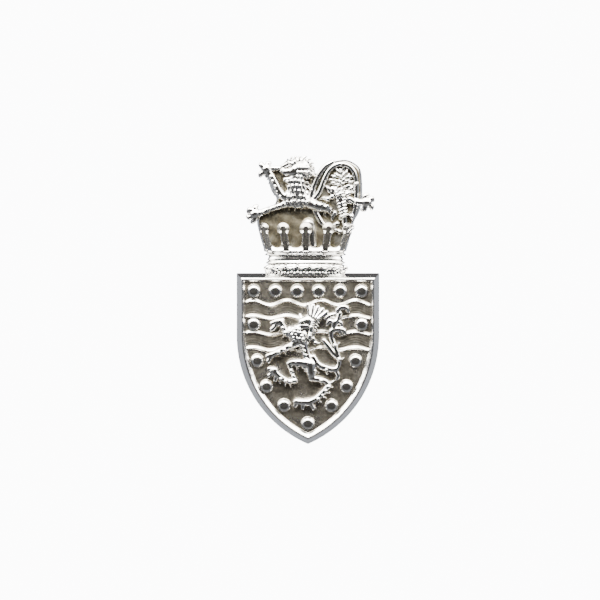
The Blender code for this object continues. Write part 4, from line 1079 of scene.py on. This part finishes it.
def brass_material():
    """Satin brass with long scratches and darker patches."""
    material, nodes, shader, place = new_metal("brass_satin")
    stretch = nodes.add("ShaderNodeMapping")
    stretch.inputs["Scale"].default_value = (1.0, 1.0, 0.06)
    nodes.link(place, stretch.inputs["Vector"])
    scratches = nodes.noise(stretch.outputs["Vector"], 9000.0, 3.0, 0.7)
    patches = nodes.noise(place, 300.0, 5.0, 0.6, 0.5)
    colour = nodes.mix(nodes.ramp(patches, 0.35, 0.68), (0.78, 0.60, 0.30), (0.52, 0.36, 0.17))
    nodes.link(colour, shader.inputs["Base Color"])
    dullness = nodes.ramp(patches, 0.4, 0.7, 0.0, 0.12)
    rough = nodes.math("ADD", nodes.ramp(scratches, 0.3, 0.7, 0.20, 0.34), dullness)
    nodes.link(rough, shader.inputs["Roughness"])
    nodes.link(nodes.bump(scratches, 0.000012), shader.inputs["Normal"])
    return material


def steel_material():
    """Satin steel with a fine grain and darker patches."""
    material, nodes, shader, place = new_metal("steel_turned")
    grain = nodes.noise(place, 4000.0, 4.0, 0.7)
    patches = nodes.noise(place, 500.0, 4.0, 0.6)
    colour = nodes.mix(nodes.ramp(patches, 0.35, 0.7), (0.62, 0.62, 0.63), (0.45, 0.44, 0.43))
    nodes.link(colour, shader.inputs["Base Color"])
    nodes.link(nodes.ramp(grain, 0.3, 0.7, 0.25, 0.42), shader.inputs["Roughness"])
    nodes.link(nodes.bump(grain, 0.00001), shader.inputs["Normal"])
    return material


# ---------------------------------------------------------------- stage, light and camera

def make_world():
    """A soft studio round the badge: dim in front, a long bright band above the front, pale
    behind and below. The band runs from left to right, so its height is the angle up from the
    front."""
    world = bpy.data.worlds.new("studio")
    bpy.context.scene.world = world
    world.use_nodes = True
    nodes = Nodes(world.node_tree)
    background = world.node_tree.nodes["Background"]
    direction = nodes.add("ShaderNodeTexCoord").outputs["Generated"]
    split = nodes.add("ShaderNodeSeparateXYZ")
    nodes.link(direction, split.inputs[0])
    x, y, z = split.outputs
    side = nodes.math("ABSOLUTE", x, 0.0)
    turn = nodes.math("DEGREES", nodes.math("ARCTAN2", z, nodes.math("MULTIPLY", y, -1.0)), 0.0)
    front = nodes.mix(nodes.ramp(side, 0.45, 0.95), (0.05, 0.048, 0.045), (0.26, 0.27, 0.30))
    front = nodes.mix(nodes.ramp(turn, -20.0, -50.0), front, (0.22, 0.225, 0.23))
    below = nodes.mix(nodes.ramp(turn, -75.0, -105.0), front, (0.42, 0.43, 0.47))
    above = nodes.mix(nodes.ramp(turn, 112.0, 128.0), below, (0.07, 0.07, 0.075))
    behind = nodes.math("MAXIMUM", nodes.ramp(turn, 158.0, 172.0), nodes.ramp(turn, -136.0, -146.0))
    beside = nodes.mix(nodes.ramp(side, 0.15, 0.35), (3.0, 3.2, 3.5), (0.52, 0.55, 0.60))
    beside = nodes.mix(nodes.ramp(z, -0.05, -0.2), beside, (0.50, 0.53, 0.58))
    around = nodes.mix(behind, above, beside)
    band = nodes.math("MULTIPLY", nodes.ramp(turn, 30.0, 50.0), nodes.ramp(turn, 118.0, 102.0))
    band = nodes.math("MULTIPLY", band, nodes.ramp(side, 0.99, 0.85))
    lit = nodes.mix(band, around, (18.0, 17.5, 16.0))
    seen = nodes.add("ShaderNodeLightPath").outputs["Is Camera Ray"]
    nodes.link(nodes.mix(seen, lit, (12.0, 12.1, 12.2)), background.inputs["Color"])
    background.inputs["Strength"].default_value = 1.0


def make_stage():
    """A pale floor, well below the badge."""
    radius, drop = 0.115, 0.064
    bm = bmesh.new()
    bmesh.ops.create_circle(bm, cap_ends=True, segments=96, radius=radius)
    mesh = bpy.data.meshes.new("floor")
    bm.to_mesh(mesh)
    bm.free()
    floor = add_piece("floor", mesh)
    floor.location = (0.0, 0.0, -drop)
    floor.visible_glossy = False  # the world alone shows in the metal
    material = bpy.data.materials.new("pale_floor")
    material.use_nodes = True
    shader = material.node_tree.nodes["Principled BSDF"]
    shader.inputs["Base Color"].default_value = (0.92, 0.92, 0.92, 1.0)
    shader.inputs["Roughness"].default_value = 0.9
    mesh.materials.append(material)


def make_light(name, place, target, size, power):
    light = bpy.data.lights.new(name, "AREA")
    light.shape = "DISK"
    light.size = size
    light.energy = power
    obj = bpy.data.objects.new(name, light)
    bpy.context.scene.collection.objects.link(obj)
    obj.location = place
    obj.rotation_euler = (Vector(target) - Vector(place)).to_track_quat("-Z", "Y").to_euler()


def make_camera():
    """Straight on from the front, far away, with the badge a little right of the middle."""
    lens, sensor, width = 180.0, 36.0, 0.1016
    across, up = -0.00135, 0.00266
    camera = bpy.data.cameras.new("front")
    camera.lens = lens
    camera.sensor_width = sensor
    camera.clip_start = 0.01
    camera.clip_end = 20.0
    obj = bpy.data.objects.new("front", camera)
    bpy.context.scene.collection.objects.link(obj)
    obj.location = (across, -width * lens / sensor - SHIELD_DEPTH * MM, up)
    obj.rotation_euler = (math.pi / 2, 0.0, 0.0)
    bpy.context.scene.camera = obj


silver = silver_material("silver_plate_worn", (0.50, 0.46, 0.39), (0.34, 0.31, 0.26), 0.165)
stained_silver = silver_material("silver_plate_stained", (0.30, 0.27, 0.19), (0.18, 0.155, 0.11), 0.26)
brass = brass_material()
steel = steel_material()
make_shield(silver)
make_bosses(silver)
make_lion(silver)
make_crown(stained_silver)
make_crest(stained_silver)
make_plates(brass)
for place, nut_body, washer_body in (("upper", "nut_up", "washer_up"), ("lower", "nut_low", "washer_low")):
    make_post(place, brass)
    make_nut(place, nut_body, brass)
    make_washer(place, washer_body, steel)
make_world()
make_stage()
make_light("key", (-0.05, -0.35, 0.45), (0.0, 0.0, 0.0), 0.25, 6.0)
make_camera()
